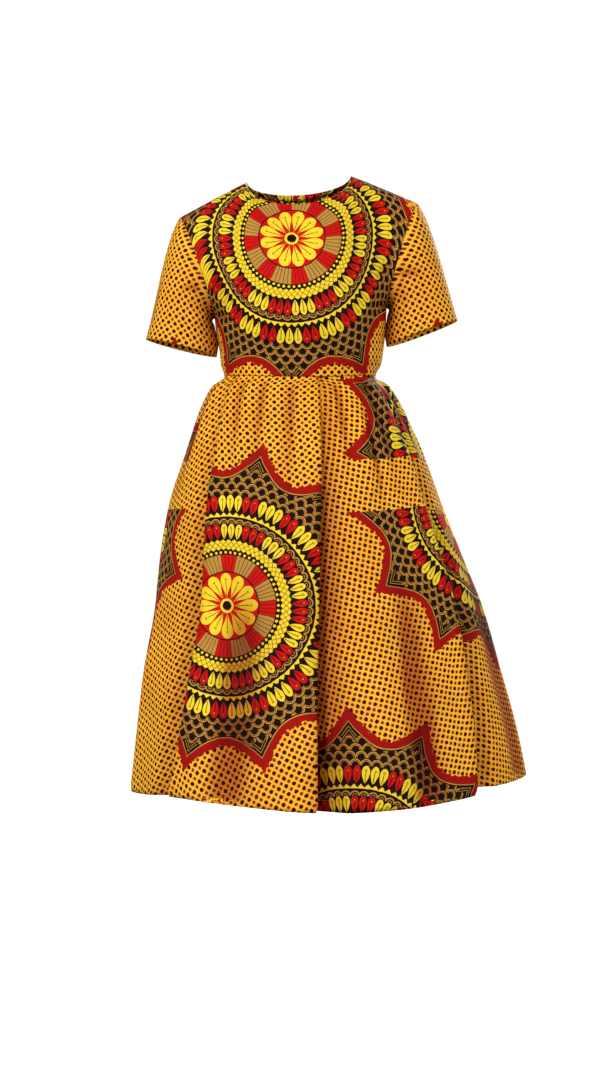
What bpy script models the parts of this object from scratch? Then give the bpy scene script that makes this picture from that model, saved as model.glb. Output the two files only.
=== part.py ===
"""A short-sleeved, knee-covering dress of printed cotton.

It has a fitted bodice, set-in sleeves and a pleated, flared skirt, and closes with a concealed zip down the
centre back. Metres, +Z up. The dress faces -Y, +X is the wearer's left. The origin lies midway between the
two side-neck points, where the shoulders carry the garment. Each cloth piece is a thin shell: a grid laid
over the piece's form and given its thickness, with a sewing gap to its neighbours.
"""

import math

import bmesh
import bpy
import numpy as np
from mathutils import Matrix, Vector

# Cloth and seams
CLOTH = 0.0012
SEAM_GAP = 0.0003
SEAM_BAND = 0.002  # both sides of the waist seam stand upright for this far
SLEEVE_GAP_TOP = 0.0006
SLEEVE_GAP_UNDERARM = 0.0013

# Heights
WAIST_Z = -0.346
WAIST_DIP = 0.008  # how far the waist seam drops to the centre front
UNDERARM_Z = -0.235
SHOULDER_TIP_Z = -0.055

# Shoulders and neckline
SHOULDER_TIP_X = 0.208
NECK_HALF_WIDTH = 0.091
SHOULDER_SEAM_Y = 0.005
NECK_FRONT = {"depth": 0.083, "drop": 0.057}
NECK_BACK = {"depth": 0.060, "drop": 0.018}
NECK_PITCH = 65.0  # how steeply the cloth rises to the neckline's centre; it is level along the shoulder
CORNER_REACH = 0.22  # how widely the cloth below eases past the corner between neckline and shoulder
CORNER_FADE = 5
NECK_COLUMN = 0.4375  # the share of a half panel's width that runs up into the neckline
SIDE_PULL = 4  # how closely the pull towards the side seams and armholes stays near them

# The right shoulder is held lower than the left one, from the underarm up
LEAN = 0.0594
SIDEWAYS_SHIFT = 0.005

# Armhole: an upright oval, hollowed towards the chest
UNDERARM_X = 0.150
ARMHOLE_FRONT = 0.060
ARMHOLE_BACK = 0.058
ARMHOLE_HOLLOW = 0.006
ARMHOLE_PACE = 0.85  # below 1, the bodice's rows climb faster round the bottom of the armhole

# Bust shaping, taken up by the darts
CUP = {"x": 0.080, "z": -0.262, "rise": 0.010, "spread": 0.050}

# Sleeve: the hem is an oval square to the sleeve's line
SLEEVE_HEM = {"x": 0.2105, "y": -0.004, "z": -0.284, "half_width": 0.0645, "half_depth": 0.060, "tilt": 17.0}

SLEEVE_LEAVES = {"top": 38.0, "underarm": 72.0}  # degrees from straight down, at the armhole seam
SLEEVE_SPREAD = 0.15  # how far the sleeve also leaves towards the front and the back
SLEEVE_CAP = 0.55  # how firmly the sleeve keeps those directions, at its top and under the arm
SLEEVE_UNDER = 0.85
SLEEVE_FALL = 0.80

# Bodice sections below the underarm
BODICE_COLUMNS = ("z", "half_width", "front", "back", "shift")
BODICE_SECTIONS = (
    (WAIST_Z, 0.1325, 0.105, 0.099, 0.002),
    (WAIST_Z + SEAM_BAND, 0.1325, 0.105, 0.099, 0.002),
    (-0.325, 0.1400, 0.108, 0.100, 0.004),
    (-0.300, 0.1430, 0.115, 0.104, 0.005),
    (-0.265, 0.1480, 0.127, 0.109, 0.004),
    (UNDERARM_Z, UNDERARM_X, 0.131, 0.112, 0.003),
)

# Skirt outline, by how far each section lies below the waist seam
SKIRT_COLUMNS = ("drop", "right", "left", "front", "back")
SKIRT_SECTIONS = (
    (0.000, 0.1305, 0.1345, 0.105, 0.099),
    (SEAM_BAND, 0.1305, 0.1345, 0.105, 0.099),
    (0.016, 0.149, 0.153, 0.117, 0.111),
    (0.045, 0.166, 0.173, 0.132, 0.129),
    (0.080, 0.180, 0.191, 0.146, 0.147),
    (0.135, 0.198, 0.217, 0.164, 0.170),
    (0.225, 0.227, 0.250, 0.187, 0.199),
    (0.330, 0.244, 0.292, 0.209, 0.225),
    (0.405, 0.251, 0.322, 0.225, 0.243),
    (0.510, 0.268, 0.352, 0.247, 0.265),
    (0.620, 0.281, 0.382, 0.272, 0.287),
    (0.735, 0.294, 0.405, 0.290, 0.302),
)

# Length of the skirt at each angle round from the centre front, in degrees towards the wearer's left
HEM_COLUMNS = ("angle", "drop")
HEM_LENGTHS = (
    (-180, 0.725),
    (-120, 0.729),
    (-90, 0.723),
    (-64, 0.715),
    (-46, 0.711),
    (-20, 0.717),
    (10, 0.727),
    (24, 0.724),
    (39, 0.715),
    (47, 0.709),
    (54, 0.698),
    (90, 0.692),
    (135, 0.707),
    (180, 0.725),
)

# Pleats: each is a slot in the skirt that slants under the cloth beside it. Its place is an angle at the
# waist, halfway down and at the hem. "before" and "after" are the slot's flanks at the hem, "slant" is how
# far its root lies sideways there, and "depth" how far inside.
PLEAT_COLUMNS = ("waist_angle", "mid_angle", "hem_angle", "before", "after", "slant", "depth")
PLEATS = (
    (-154, -155, -156, 0.034, 0.016, 0.030, 0.036),
    (-120, -121, -122, 0.016, 0.036, -0.036, 0.038),
    (-55, -43, -51, 0.040, 0.018, 0.046, 0.044),
    (15, 8, 6, 0.016, 0.044, -0.034, 0.044),
    (64, 59, 50, 0.018, 0.036, -0.030, 0.038),
    (118, 120, 122, 0.036, 0.016, 0.036, 0.038),
    (152, 153, 154, 0.016, 0.034, -0.030, 0.036),
)
PLEAT_AT_WAIST = {"width": 0.55, "depth": 0.06, "slant": 0.0}  # sizes there, as shares of those at the hem
PLEAT_OPENING = {"width": 1.0, "depth": 0.95, "slant": 1.1}  # how they grow: 1 is evenly, more is later
SLANT_FADE = 1.7  # above 1, the slant stays near the slot's root

# Zip tape
ZIP_HALF_WIDTH = 0.011
ZIP_TAPE = 0.0007
ZIP_INSET = 0.0014
ZIP_TOP_Z = -0.0365
ZIP_BELOW_WAIST = 0.150
ZIP_SPANS = 4
ZIP_ROW_CLEAR = 0.004  # the tape's ends take the place of a row that lies nearer than this

# Zip slider: blocks in a frame with x across the zip, y out of the cloth and z up along it
SLIDER_SLOT = 0.0030  # the centre-back edges part by this much for the slider
SLIDER_SLOT_FROM_Z = -0.044
SLIDER_SLOT_TO_Z = -0.037
SLIDER_ABOVE_TAPE = 0.0105
SLIDER_HALF_HEIGHT = 0.004
PLATE_FROM_MIDDLE = CLOTH / 2 + SEAM_GAP
PIN_OUT = PLATE_FROM_MIDDLE + 0.0028
PIN_RADIUS = 0.0005
PIN_LENGTH = 0.0044
# Each block's centre, then its size
SLIDER_BLOCKS = {
    "inner_plate": ((0.0, -PLATE_FROM_MIDDLE - 0.0010, -0.0020), (0.0050, 0.0020, 0.0085)),
    "post": ((0.0, 0.0, -0.0010), (0.0018, 2 * PLATE_FROM_MIDDLE + 0.0008, 0.0050)),
    "outer_plate": ((0.0, PLATE_FROM_MIDDLE + 0.0005, -0.0010), (0.0050, 0.0010, 0.0070)),
    "right_lug": ((-0.0021, PIN_OUT - 0.0009, 0.0), (0.0008, 0.0033, 0.0022)),
    "left_lug": ((0.0021, PIN_OUT - 0.0009, 0.0), (0.0008, 0.0033, 0.0022)),
}

# Pull tab: an eye on the slider's pin, a stem and a flat drop
TAB_LENGTH = 0.022
TAB_THICKNESS = 0.0011
TAB_CLEARANCE = 0.0003
EYE_WALL = 0.0006
EYE_LENGTH = 0.0026
HOLE_LENGTH = 0.0060
STEM_BLOCK = ((0.0, 0.0, -0.0052), (0.0022, TAB_THICKNESS, 0.0083))
DROP_RADIUS = 0.0028
DROP_STRETCH = 2.4
DROP_ABOVE_END = 0.0085

# Mesh density
SKIRT_ROWS = 11
SKIRT_ROW_PACE = 1.3  # above 1, the rows lie closer together near the waist
PLAIN_SPANS = 5  # columns between two pleats
FLANK_SHARES = np.array([0.10, 0.21, 0.36, 0.54, 0.76, 1.0])  # columns from a pleat's edge to its root
BODICE_SPANS = 32
BODICE_LOWER_ROWS = 5
SHOULDER_BAND = 0.012  # the last row before the shoulder seam, as a share of the height above the underarm
BODICE_UPPER_ROWS = 11
SLEEVE_ROWS = 7
SLEEVE_ROW_PACE = 1.25  # above 1, the rows lie closer together near the armhole
PIN_SIDES = 10
EYE_SIDES = 14
DROP_SIDES = 20

CUTTERS = "cutters"


def smooth(x):
    """0 to 1 with level ends."""
    x = np.clip(x, 0.0, 1.0)
    return x * x * (3 - 2 * x)


def look_up(sections, columns, name, at):
    """A section table's column at any height, on a curve with no overshoot between its rows."""
    rows = np.array(sections, float)
    x, y = rows[:, 0], rows[:, columns.index(name)]
    steps = np.diff(y) / np.diff(x)
    slopes = np.zeros(len(x))
    both = steps[:-1] * steps[1:] > 0
    slopes[1:-1][both] = 2 * steps[:-1][both] * steps[1:][both] / (steps[:-1][both] + steps[1:][both])
    slopes[0], slopes[-1] = steps[0], steps[-1]
    at = float(np.clip(at, x[0], x[-1]))
    i = int(np.clip(np.searchsorted(x, at) - 1, 0, len(x) - 2))
    width = x[i + 1] - x[i]
    s = (at - x[i]) / width
    return (
        y[i] * (1 + 2 * s) * (1 - s) ** 2
        + width * slopes[i] * s * (1 - s) ** 2
        + y[i + 1] * s * s * (3 - 2 * s)
        + width * slopes[i + 1] * s * s * (s - 1)
    )


def hermite(start, start_slope, end, end_slope, s):
    return (
        start * (1 + 2 * s) * (1 - s) ** 2
        + start_slope * s * (1 - s) ** 2
        + end * s * s * (3 - 2 * s)
        + end_slope * s * s * (s - 1)
    )


def unit(vector):
    return vector / np.linalg.norm(vector)


# Bodice


def leaned(point, share=None):
    """The point once the shoulders tip to the wearer's right. Without a share, height says how much."""
    if share is None:
        share = smooth((point[2] - WAIST_Z) / (UNDERARM_Z - WAIST_Z))
    return point + np.array([0.0, 0.0, LEAN * point[0] * share])


def torso_section(z, across, facing):
    """A point on the bodice below the underarm. across runs from -1 to 1, side seam to side seam."""
    half_width = look_up(BODICE_SECTIONS, BODICE_COLUMNS, "half_width", z)
    depth = look_up(BODICE_SECTIONS, BODICE_COLUMNS, facing, z)
    shift = look_up(BODICE_SECTIONS, BODICE_COLUMNS, "shift", z)
    turn = across * math.pi / 2
    away = -1 if facing == "front" else 1
    return np.array([shift + half_width * math.sin(turn), away * depth * math.cos(turn), z])


def armhole(side, turn):
    """A point on the armhole. turn is 0 at the shoulder tip, and goes round by the front."""
    middle_z = (SHOULDER_TIP_Z + UNDERARM_Z) / 2
    half_height = (SHOULDER_TIP_Z - UNDERARM_Z) / 2
    middle_x = (SHOULDER_TIP_X + UNDERARM_X) / 2
    half_spread = (SHOULDER_TIP_X - UNDERARM_X) / 2
    depth = ARMHOLE_FRONT if math.sin(turn) > 0 else ARMHOLE_BACK
    low = (1 - math.cos(turn)) / 2
    shift = look_up(BODICE_SECTIONS, BODICE_COLUMNS, "shift", UNDERARM_Z) * low
    x = middle_x + half_spread * math.cos(turn) - ARMHOLE_HOLLOW * abs(math.sin(turn))
    top_y = SHOULDER_SEAM_Y * (1 - low)
    z = middle_z + half_height * math.cos(turn)
    return np.array([shift + side * x, top_y - depth * math.sin(turn), z])


def top_edge(across, facing):
    """Where a column of the bodice ends: the neckline near the centre, the shoulder seam beyond it."""
    side, reach = (1 if across >= 0 else -1), abs(across)
    neck = NECK_FRONT if facing == "front" else NECK_BACK
    away = -1 if facing == "front" else 1
    if reach <= NECK_COLUMN:
        turn = reach / NECK_COLUMN * math.pi / 2
        return np.array(
            [
                side * NECK_HALF_WIDTH * math.sin(turn),
                SHOULDER_SEAM_Y + away * neck["depth"] * math.cos(turn),
                -neck["drop"] * math.cos(turn),
            ]
        )
    along = (reach - NECK_COLUMN) / (1 - NECK_COLUMN)
    x = NECK_HALF_WIDTH + (SHOULDER_TIP_X - NECK_HALF_WIDTH) * along
    return np.array([side * x, SHOULDER_SEAM_Y, SHOULDER_TIP_Z * along])


def eased_edge(across, facing):
    """The top edge with its neck corner rounded off: the line that the cloth lower down follows."""
    offsets = np.linspace(-CORNER_REACH, CORNER_REACH, 9)
    weights = np.cos(offsets / CORNER_REACH * math.pi / 2)
    edges = [top_edge(float(np.clip(across + offset, -1, 1)), facing) for offset in offsets]
    return np.average(edges, axis=0, weights=weights)


def upper_column(across, rise, facing):
    """A point on the bodice above the underarm, before its sides are drawn in to the armholes."""
    away = -1 if facing == "front" else 1
    start = torso_section(UNDERARM_Z, across, facing)
    step = 0.01
    leaving = unit(start - torso_section(UNDERARM_Z - step, across, facing))
    end = eased_edge(across, facing)
    pitch = math.radians(NECK_PITCH) * math.cos(min(abs(across) / NECK_COLUMN, 1.0) * math.pi / 2) ** 2
    arriving = np.array([0.0, -away * math.cos(pitch), math.sin(pitch)])
    length = float(np.linalg.norm(end - start))
    point = hermite(start, leaving * length, end, arriving * length, rise)
    return point + (top_edge(across, facing) - end) * rise**CORNER_FADE


def bodice_point(across, height, facing):
    """A point on the bodice. height runs from 0 at the waist, by 1 at the underarm, to 2 at the top edge."""
    if height <= 1:
        point = torso_section(WAIST_Z + (UNDERARM_Z - WAIST_Z) * height, across, facing)
        if facing == "front":
            point[2] -= WAIST_DIP * math.cos(across * math.pi / 2) ** 2 * (1 - height)
    else:
        rise = height - 1
        side = 1 if across >= 0 else -1
        turn = math.pi * (1 - rise**ARMHOLE_PACE) * (1 if facing == "front" else -1)
        drawn_in = armhole(side, turn) - upper_column(side, rise, facing)
        point = upper_column(across, rise, facing) + drawn_in * abs(across) ** SIDE_PULL
    if facing == "front":
        for side in (-1, 1):
            apart = (point[0] - side * CUP["x"]) ** 2 + (point[2] - CUP["z"]) ** 2
            bulge = CUP["rise"] * math.exp(-apart / (2 * CUP["spread"] ** 2))
            point[1] -= bulge * (1 - abs(across) ** SIDE_PULL)
    return leaned(point)


# Sleeves


def sleeve_point(side, turn, along):
    """A point on a sleeve. turn goes round from the shoulder, along from 0 at the armhole to 1 at the hem."""
    under = (1 - math.cos(turn)) / 2
    leaving = math.radians(SLEEVE_LEAVES["top"] + (SLEEVE_LEAVES["underarm"] - SLEEVE_LEAVES["top"]) * under)
    outward = unit(np.array([side * math.sin(leaving), -SLEEVE_SPREAD * math.sin(turn), -math.cos(leaving)]))
    gap = SLEEVE_GAP_TOP + (SLEEVE_GAP_UNDERARM - SLEEVE_GAP_TOP) * under**2
    start = armhole(side, turn) + outward * gap
    tilt = math.radians(SLEEVE_HEM["tilt"])
    centre = np.array([SIDEWAYS_SHIFT + side * SLEEVE_HEM["x"], SLEEVE_HEM["y"], SLEEVE_HEM["z"]])
    across = np.array([side * math.cos(tilt), 0.0, math.sin(tilt)])
    down = np.array([side * math.sin(tilt), 0.0, -math.cos(tilt)])
    end = (
        centre
        + across * SLEEVE_HEM["half_width"] * math.cos(turn)
        + np.array([0.0, -SLEEVE_HEM["half_depth"] * math.sin(turn), 0.0])
    )
    length = float(np.linalg.norm(end - start))
    fullness = SLEEVE_CAP + (SLEEVE_UNDER - SLEEVE_CAP) * under
    return leaned(hermite(start, outward * length * fullness, end, down * length * SLEEVE_FALL, along), 1.0)


# Skirt


def skirt_outline(angle, drop):
    """(point, outward direction) on the skirt's plain outline, without its pleats."""
    side = "left" if math.sin(angle) > 0 else "right"
    face = "front" if math.cos(angle) > 0 else "back"
    wide = look_up(SKIRT_SECTIONS, SKIRT_COLUMNS, side, drop)
    deep = look_up(SKIRT_SECTIONS, SKIRT_COLUMNS, face, drop)
    point = np.array([wide * math.sin(angle), -deep * math.cos(angle), WAIST_Z - drop])
    return point, unit(np.array([math.sin(angle) / wide, -math.cos(angle) / deep, 0.0]))


def pleat_size(kind, down):
    """The share of a pleat's width, depth or slant at the hem that it has this far down."""
    return PLEAT_AT_WAIST[kind] + (1 - PLEAT_AT_WAIST[kind]) * down ** PLEAT_OPENING[kind]


def pleat_centre(row, down):
    """The angle of a pleat's root, on a parabola through its three angles."""
    bow = row["mid_angle"] - (row["waist_angle"] + row["hem_angle"]) / 2
    straight = row["waist_angle"] + (row["hem_angle"] - row["waist_angle"]) * down
    return math.radians(straight + 4 * bow * down * (1 - down))


def skirt_radius(angle, drop):
    """How far the outline travels for each radian there."""
    step = 0.01
    before, after = skirt_outline(angle - step, drop)[0], skirt_outline(angle + step, drop)[0]
    return float(np.linalg.norm(after - before)) / (2 * step)


def pleats_at(angle, down, drop):
    """(sideways shift in radians, depth inwards in metres) that the pleats give this point."""
    shift, depth = 0.0, 0.0
    for pleat in PLEATS:
        row = dict(zip(PLEAT_COLUMNS, pleat))
        centre = pleat_centre(row, down)
        radius = skirt_radius(centre, drop)
        away = (angle - centre) * radius
        flank = row["before"] if away < 0 else row["after"]
        reach = abs(away) / (flank * pleat_size("width", down))
        if reach < 1:
            fall = math.cos(math.pi * reach / 2) ** 2
            depth += row["depth"] * pleat_size("depth", down) * fall
            shift += row["slant"] * pleat_size("slant", down) * fall**SLANT_FADE / radius
    return shift, depth


def skirt_point(angle, down):
    """A point on the skirt. angle is 0 at the centre front, down goes from 0 at the waist to 1 at the hem."""
    drop = down * look_up(HEM_LENGTHS, HEM_COLUMNS, "drop", math.degrees(angle))
    shift, depth = pleats_at(angle, down, drop)
    point, outward = skirt_outline(angle + shift, drop)
    point[2] -= WAIST_DIP * max(math.cos(angle), 0.0) ** 2 * (1 - down)
    return point - outward * depth


def skirt_columns(first, last, down):
    """Angles of a panel's columns at one row. Each fold's edge follows a column."""
    knots, shares = [math.radians(first)], []
    plain = np.linspace(0.0, 1.0, PLAIN_SPANS + 1)[1:]
    back_out = np.append(1 - FLANK_SHARES[-2::-1], 1.0)
    drop = down * look_up(HEM_LENGTHS, HEM_COLUMNS, "drop", (first + last) / 2)
    for pleat in PLEATS:
        row = dict(zip(PLEAT_COLUMNS, pleat))
        if not first < row["waist_angle"] < last:
            continue
        centre = pleat_centre(row, down)
        width = pleat_size("width", down) / skirt_radius(centre, drop)
        knots += [centre - row["before"] * width, centre, centre + row["after"] * width]
        shares += [plain, FLANK_SHARES, back_out]
    knots.append(math.radians(last))
    shares.append(plain)
    angles = [knots[0]]
    for begin, end, part in zip(knots, knots[1:], shares):
        angles += [begin + (end - begin) * share for share in part]
    return angles


# Building


def material(name, colour, roughness, metallic=0.0):
    made = bpy.data.materials.new(name)
    made.use_nodes = True
    shader = made.node_tree.nodes["Principled BSDF"]
    shader.inputs["Base Color"].default_value = (*colour, 1.0)
    shader.inputs["Roughness"].default_value = roughness
    shader.inputs["Metallic"].default_value = metallic
    return made


def place(name, mesh, collection, look):
    node = bpy.data.objects.new(name, mesh)
    mesh.materials.append(look)
    collection.objects.link(node)
    return node


def cloth_panel(name, spans, rows, locate, collection, look, closed=False, thickness=CLOTH):
    """A cloth piece: a grid of spans by rows laid where locate(column, row) says, with shares from 0 to 1."""
    cloth = bmesh.new()
    bmesh.ops.create_grid(cloth, x_segments=spans, y_segments=rows, size=1.0)
    for vertex in cloth.verts:
        column = round((vertex.co.x + 1) / 2 * spans)
        row = round((vertex.co.y + 1) / 2 * rows)
        vertex.co = Vector(locate(column, row))
    if closed:
        bmesh.ops.remove_doubles(cloth, verts=cloth.verts, dist=1e-6)
    mesh = bpy.data.meshes.new(name)
    cloth.to_mesh(mesh)
    cloth.free()
    mesh.shade_smooth()
    node = place(name, mesh, collection, look)
    shell = node.modifiers.new("Cloth", "SOLIDIFY")
    shell.thickness = thickness
    shell.offset = 0.0
    shell.use_even_offset = False
    return node


def bodice_rows():
    band = SEAM_BAND / (UNDERARM_Z - WAIST_Z)
    lower = np.concatenate([[0.0], np.linspace(band, 1.0, BODICE_LOWER_ROWS)])
    upper = np.linspace(1.0, 2.0 - SHOULDER_BAND, BODICE_UPPER_ROWS)[1:]
    return np.concatenate([lower, upper, [2.0]])


def centre_back_gap(z):
    """How far each centre-back edge stands from the middle: a sewing gap, wider at the top for the slider."""
    opened = smooth((z - SLIDER_SLOT_FROM_Z) / (SLIDER_SLOT_TO_Z - SLIDER_SLOT_FROM_Z))
    return (SEAM_GAP + (SLIDER_SLOT - SEAM_GAP) * opened) / 2


def seamed_bodice(across, height, facing):
    """A bodice point, drawn back from the seam that it lies on."""
    point = bodice_point(across, height, facing)
    away = -1 if facing == "front" else 1
    if abs(across) == 1 and height <= 1:
        point[1] += away * SEAM_GAP / 2
    if height == 0:
        point[2] += SEAM_GAP / 2
    if height == 2 and abs(across) >= NECK_COLUMN:
        point[1] += away * SEAM_GAP / 2
    return point


def build_bodice(collection, look):
    rows = bodice_rows()

    def front(column, row):
        return seamed_bodice(-1 + 2 * column / BODICE_SPANS, rows[row], "front")

    cloth_panel("bodice_front", BODICE_SPANS, len(rows) - 1, front, collection, look)
    half = BODICE_SPANS // 2
    for side, name in ((-1, "bodice_back_right"), (1, "bodice_back_left")):

        def back(column, row, side=side):
            point = seamed_bodice(side * (1 - column / half), rows[row], "back")
            if column == half:
                point[0] = side * centre_back_gap(point[2])
            return point

        cloth_panel(name, half, len(rows) - 1, back, collection, look)


def armhole_turns():
    """The turns at which the bodice's rows meet the armhole, once round from the shoulder tip."""
    rises = np.append(bodice_rows()[BODICE_LOWER_ROWS:-2] - 1, 1.0)
    front = math.pi * (1 - rises[::-1] ** ARMHOLE_PACE)
    return np.concatenate([front, 2 * math.pi - front[-2::-1]])


def build_sleeves(collection, look):
    turns = armhole_turns()
    spans = len(turns) - 1
    for side, name in ((-1, "sleeve_right"), (1, "sleeve_left")):

        def tube(column, row, side=side):
            return sleeve_point(side, turns[column % spans], (row / SLEEVE_ROWS) ** SLEEVE_ROW_PACE)

        cloth_panel(name, spans, SLEEVE_ROWS, tube, collection, look, closed=True)


def skirt_rows():
    """Shares of the length for the rows, closer together near the waist."""
    even = np.linspace(0.0, 1.0, SKIRT_ROWS)
    band = SEAM_BAND / look_up(HEM_LENGTHS, HEM_COLUMNS, "drop", 0.0)
    return np.concatenate([[0.0], band + (1 - band) * even**SKIRT_ROW_PACE])


def build_skirt(collection, look):
    panels = (
        ("skirt_front", -90, 90),
        ("skirt_back_left", 90, 180),
        ("skirt_back_right", -180, -90),
    )
    rows = skirt_rows()
    for name, first, last in panels:
        columns = [skirt_columns(first, last, down) for down in rows]
        spans = len(columns[0]) - 1

        def panel(column, row, name=name, columns=columns, first=first, last=last, spans=spans):
            point = skirt_point(columns[row][column], rows[row])
            for edge, at in ((0, first), (spans, last)):
                if column == edge and abs(at) == 90:
                    point[1] += (SEAM_GAP / 2) * (-1 if name == "skirt_front" else 1)
                elif column == edge:
                    point[0] = (SEAM_GAP / 2) * (1 if name == "skirt_back_left" else -1)
            if row == 0:
                point[2] -= SEAM_GAP / 2
            return point

        cloth_panel(name, spans, SKIRT_ROWS, panel, collection, look)


def centre_back_rows():
    """(heights, depths) of the panels' rows down the centre back, from the hem up."""
    points = [skirt_point(math.pi, down) for down in skirt_rows()[::-1]]
    points += [bodice_point(0.0, height, "back") for height in bodice_rows()]
    return np.array([p[2] for p in points]), np.array([p[1] for p in points])


def centre_back(z, x=0.0):
    """A point near the centre back, at that height and sideways place, midway through the cloth."""
    heights, depths = centre_back_rows()
    middle = float(np.interp(z, heights, depths))
    return np.array([x, middle - (1 - math.cos(math.asin(x / middle))) * middle, z])


def build_zip_tape(collection, look):
    bottom = WAIST_Z - ZIP_BELOW_WAIST
    heights = centre_back_rows()[0]
    inside = [z for z in heights if bottom + ZIP_ROW_CLEAR < z < ZIP_TOP_Z - ZIP_ROW_CLEAR]
    levels = [ZIP_TOP_Z, *[z for z in inside[::-1] if abs(z - WAIST_Z) > SEAM_GAP], bottom]

    def tape(column, row):
        point = centre_back(levels[row], ZIP_HALF_WIDTH * (2 * column / ZIP_SPANS - 1))
        point[1] -= ZIP_INSET
        return point

    cloth_panel("zip_tape", ZIP_SPANS, len(levels) - 1, tape, collection, look, thickness=ZIP_TAPE)


def slider_frame():
    """Where the slider stands: x across the zip, y out of the cloth, z up along it."""
    pivot_z = ZIP_TOP_Z + SLIDER_ABOVE_TAPE
    low = centre_back(pivot_z - SLIDER_HALF_HEIGHT)
    high = centre_back(pivot_z + SLIDER_HALF_HEIGHT)
    slope = math.atan2(low[1] - high[1], high[2] - low[2])
    return Matrix.Translation(Vector(centre_back(pivot_z))) @ Matrix.Rotation(slope, 4, "X")


def build_slider(frame, pin, collection, look):
    parts = [bar(f"slider_{name}", *block, frame) for name, block in SLIDER_BLOCKS.items()]
    parts.append(rod("slider_pin", PIN_RADIUS, PIN_LENGTH, pin, PIN_SIDES))
    place("zip_slider", joined(parts), collection, look)


def build_pull_tab(pivot, pin, collection, look):
    """The tab hangs on the slider's pin by its eye, and its object turns about the pin."""
    bore = PIN_RADIUS + TAB_CLEARANCE
    eye = rod("tab_eye", bore + EYE_WALL, EYE_LENGTH, pin, EYE_SIDES)
    hole = rod("tab_hole", bore, HOLE_LENGTH, pin, EYE_SIDES)
    stem = bar("tab_stem", *STEM_BLOCK, pivot)
    low = pivot @ Matrix.Translation((0.0, 0.0, DROP_ABOVE_END - TAB_LENGTH))
    flat = low @ Matrix.Rotation(math.pi / 2, 4, "X")
    drop = rod("tab_drop", DROP_RADIUS, TAB_THICKNESS, flat, DROP_SIDES, stretch=DROP_STRETCH)
    tab = cut(joined([eye, stem, drop]), hole)
    tab.transform(pivot.inverted())
    place("zip_pull_tab", tab, collection, look).matrix_world = pivot


def build_zip(collection, tape_look, metal_look):
    build_zip_tape(collection, tape_look)
    frame = slider_frame()
    pivot = frame @ Matrix.Translation((0.0, PIN_OUT, 0.0))
    pin = pivot @ Matrix.Rotation(math.pi / 2, 4, "Y")
    build_slider(frame, pin, collection, metal_look)
    build_pull_tab(pivot, pin, collection, metal_look)


def bar(name, centre, size, frame):
    """A block in a frame, for a Boolean."""
    block = bmesh.new()
    bmesh.ops.create_cube(block, size=1.0)
    bmesh.ops.scale(block, vec=size, verts=block.verts)
    bmesh.ops.translate(block, vec=centre, verts=block.verts)
    block.transform(frame)
    return helper(name, block)


def rod(name, radius, length, frame, sides, stretch=1.0):
    """A round bar along its frame's z axis, widened along y by stretch, for a Boolean."""
    shape = bmesh.new()
    bmesh.ops.create_cone(shape, cap_ends=True, segments=sides, radius1=radius, radius2=radius, depth=length)
    bmesh.ops.scale(shape, vec=(1.0, stretch, 1.0), verts=shape.verts)
    shape.transform(frame)
    return helper(name, shape)


def helper(name, shape):
    mesh = bpy.data.meshes.new(name)
    shape.to_mesh(mesh)
    shape.free()
    return blank(mesh)


def blank(mesh):
    """An object for a Boolean, kept out of the dress's own collection."""
    made = bpy.data.objects.new(mesh.name, mesh)
    made.hide_render = True
    made.display_type = "WIRE"
    bpy.data.collections[CUTTERS].objects.link(made)
    return made


def combined(first, second, operation):
    """One blank from two, which are used up."""
    change = first.modifiers.new(operation.title(), "BOOLEAN")
    change.operation = operation
    change.object = second
    bpy.context.view_layer.update()
    graph = bpy.context.evaluated_depsgraph_get()
    mesh = bpy.data.meshes.new_from_object(first.evaluated_get(graph), depsgraph=graph)
    bpy.data.objects.remove(first)
    bpy.data.objects.remove(second)
    return blank(mesh)


def joined(parts):
    """One closed mesh from overlapping solids."""
    whole = parts[0]
    for part in parts[1:]:
        whole = combined(whole, part, "UNION")
    mesh = whole.data
    bpy.data.objects.remove(whole)
    return mesh


def cut(mesh, cutter):
    whole = combined(blank(mesh), cutter, "DIFFERENCE")
    made = whole.data
    bpy.data.objects.remove(whole)
    return made


def main():
    for old in list(bpy.data.objects):
        bpy.data.objects.remove(old)
    dress = bpy.data.collections.new("wax_print_dress")
    for collection in (dress, bpy.data.collections.new(CUTTERS)):
        bpy.context.scene.collection.children.link(collection)
    print_look = material("printed_cotton", (0.80, 0.42, 0.06), 0.75)
    tape_look = material("zip_tape", (0.45, 0.20, 0.04), 0.80)
    metal_look = material("zip_metal", (0.45, 0.30, 0.12), 0.35, 0.9)
    build_bodice(dress, print_look)
    build_sleeves(dress, print_look)
    build_skirt(dress, print_look)
    build_zip(dress, tape_look, metal_look)


main()
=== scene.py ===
"""Looks for a wax-print cotton dress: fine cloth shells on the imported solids' form, the print, the sewing,
the concealed zip and a plain studio. Metres, +Z up; the dress faces -Y and +X is the wearer's left.
"""

import collections
import math

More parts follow.
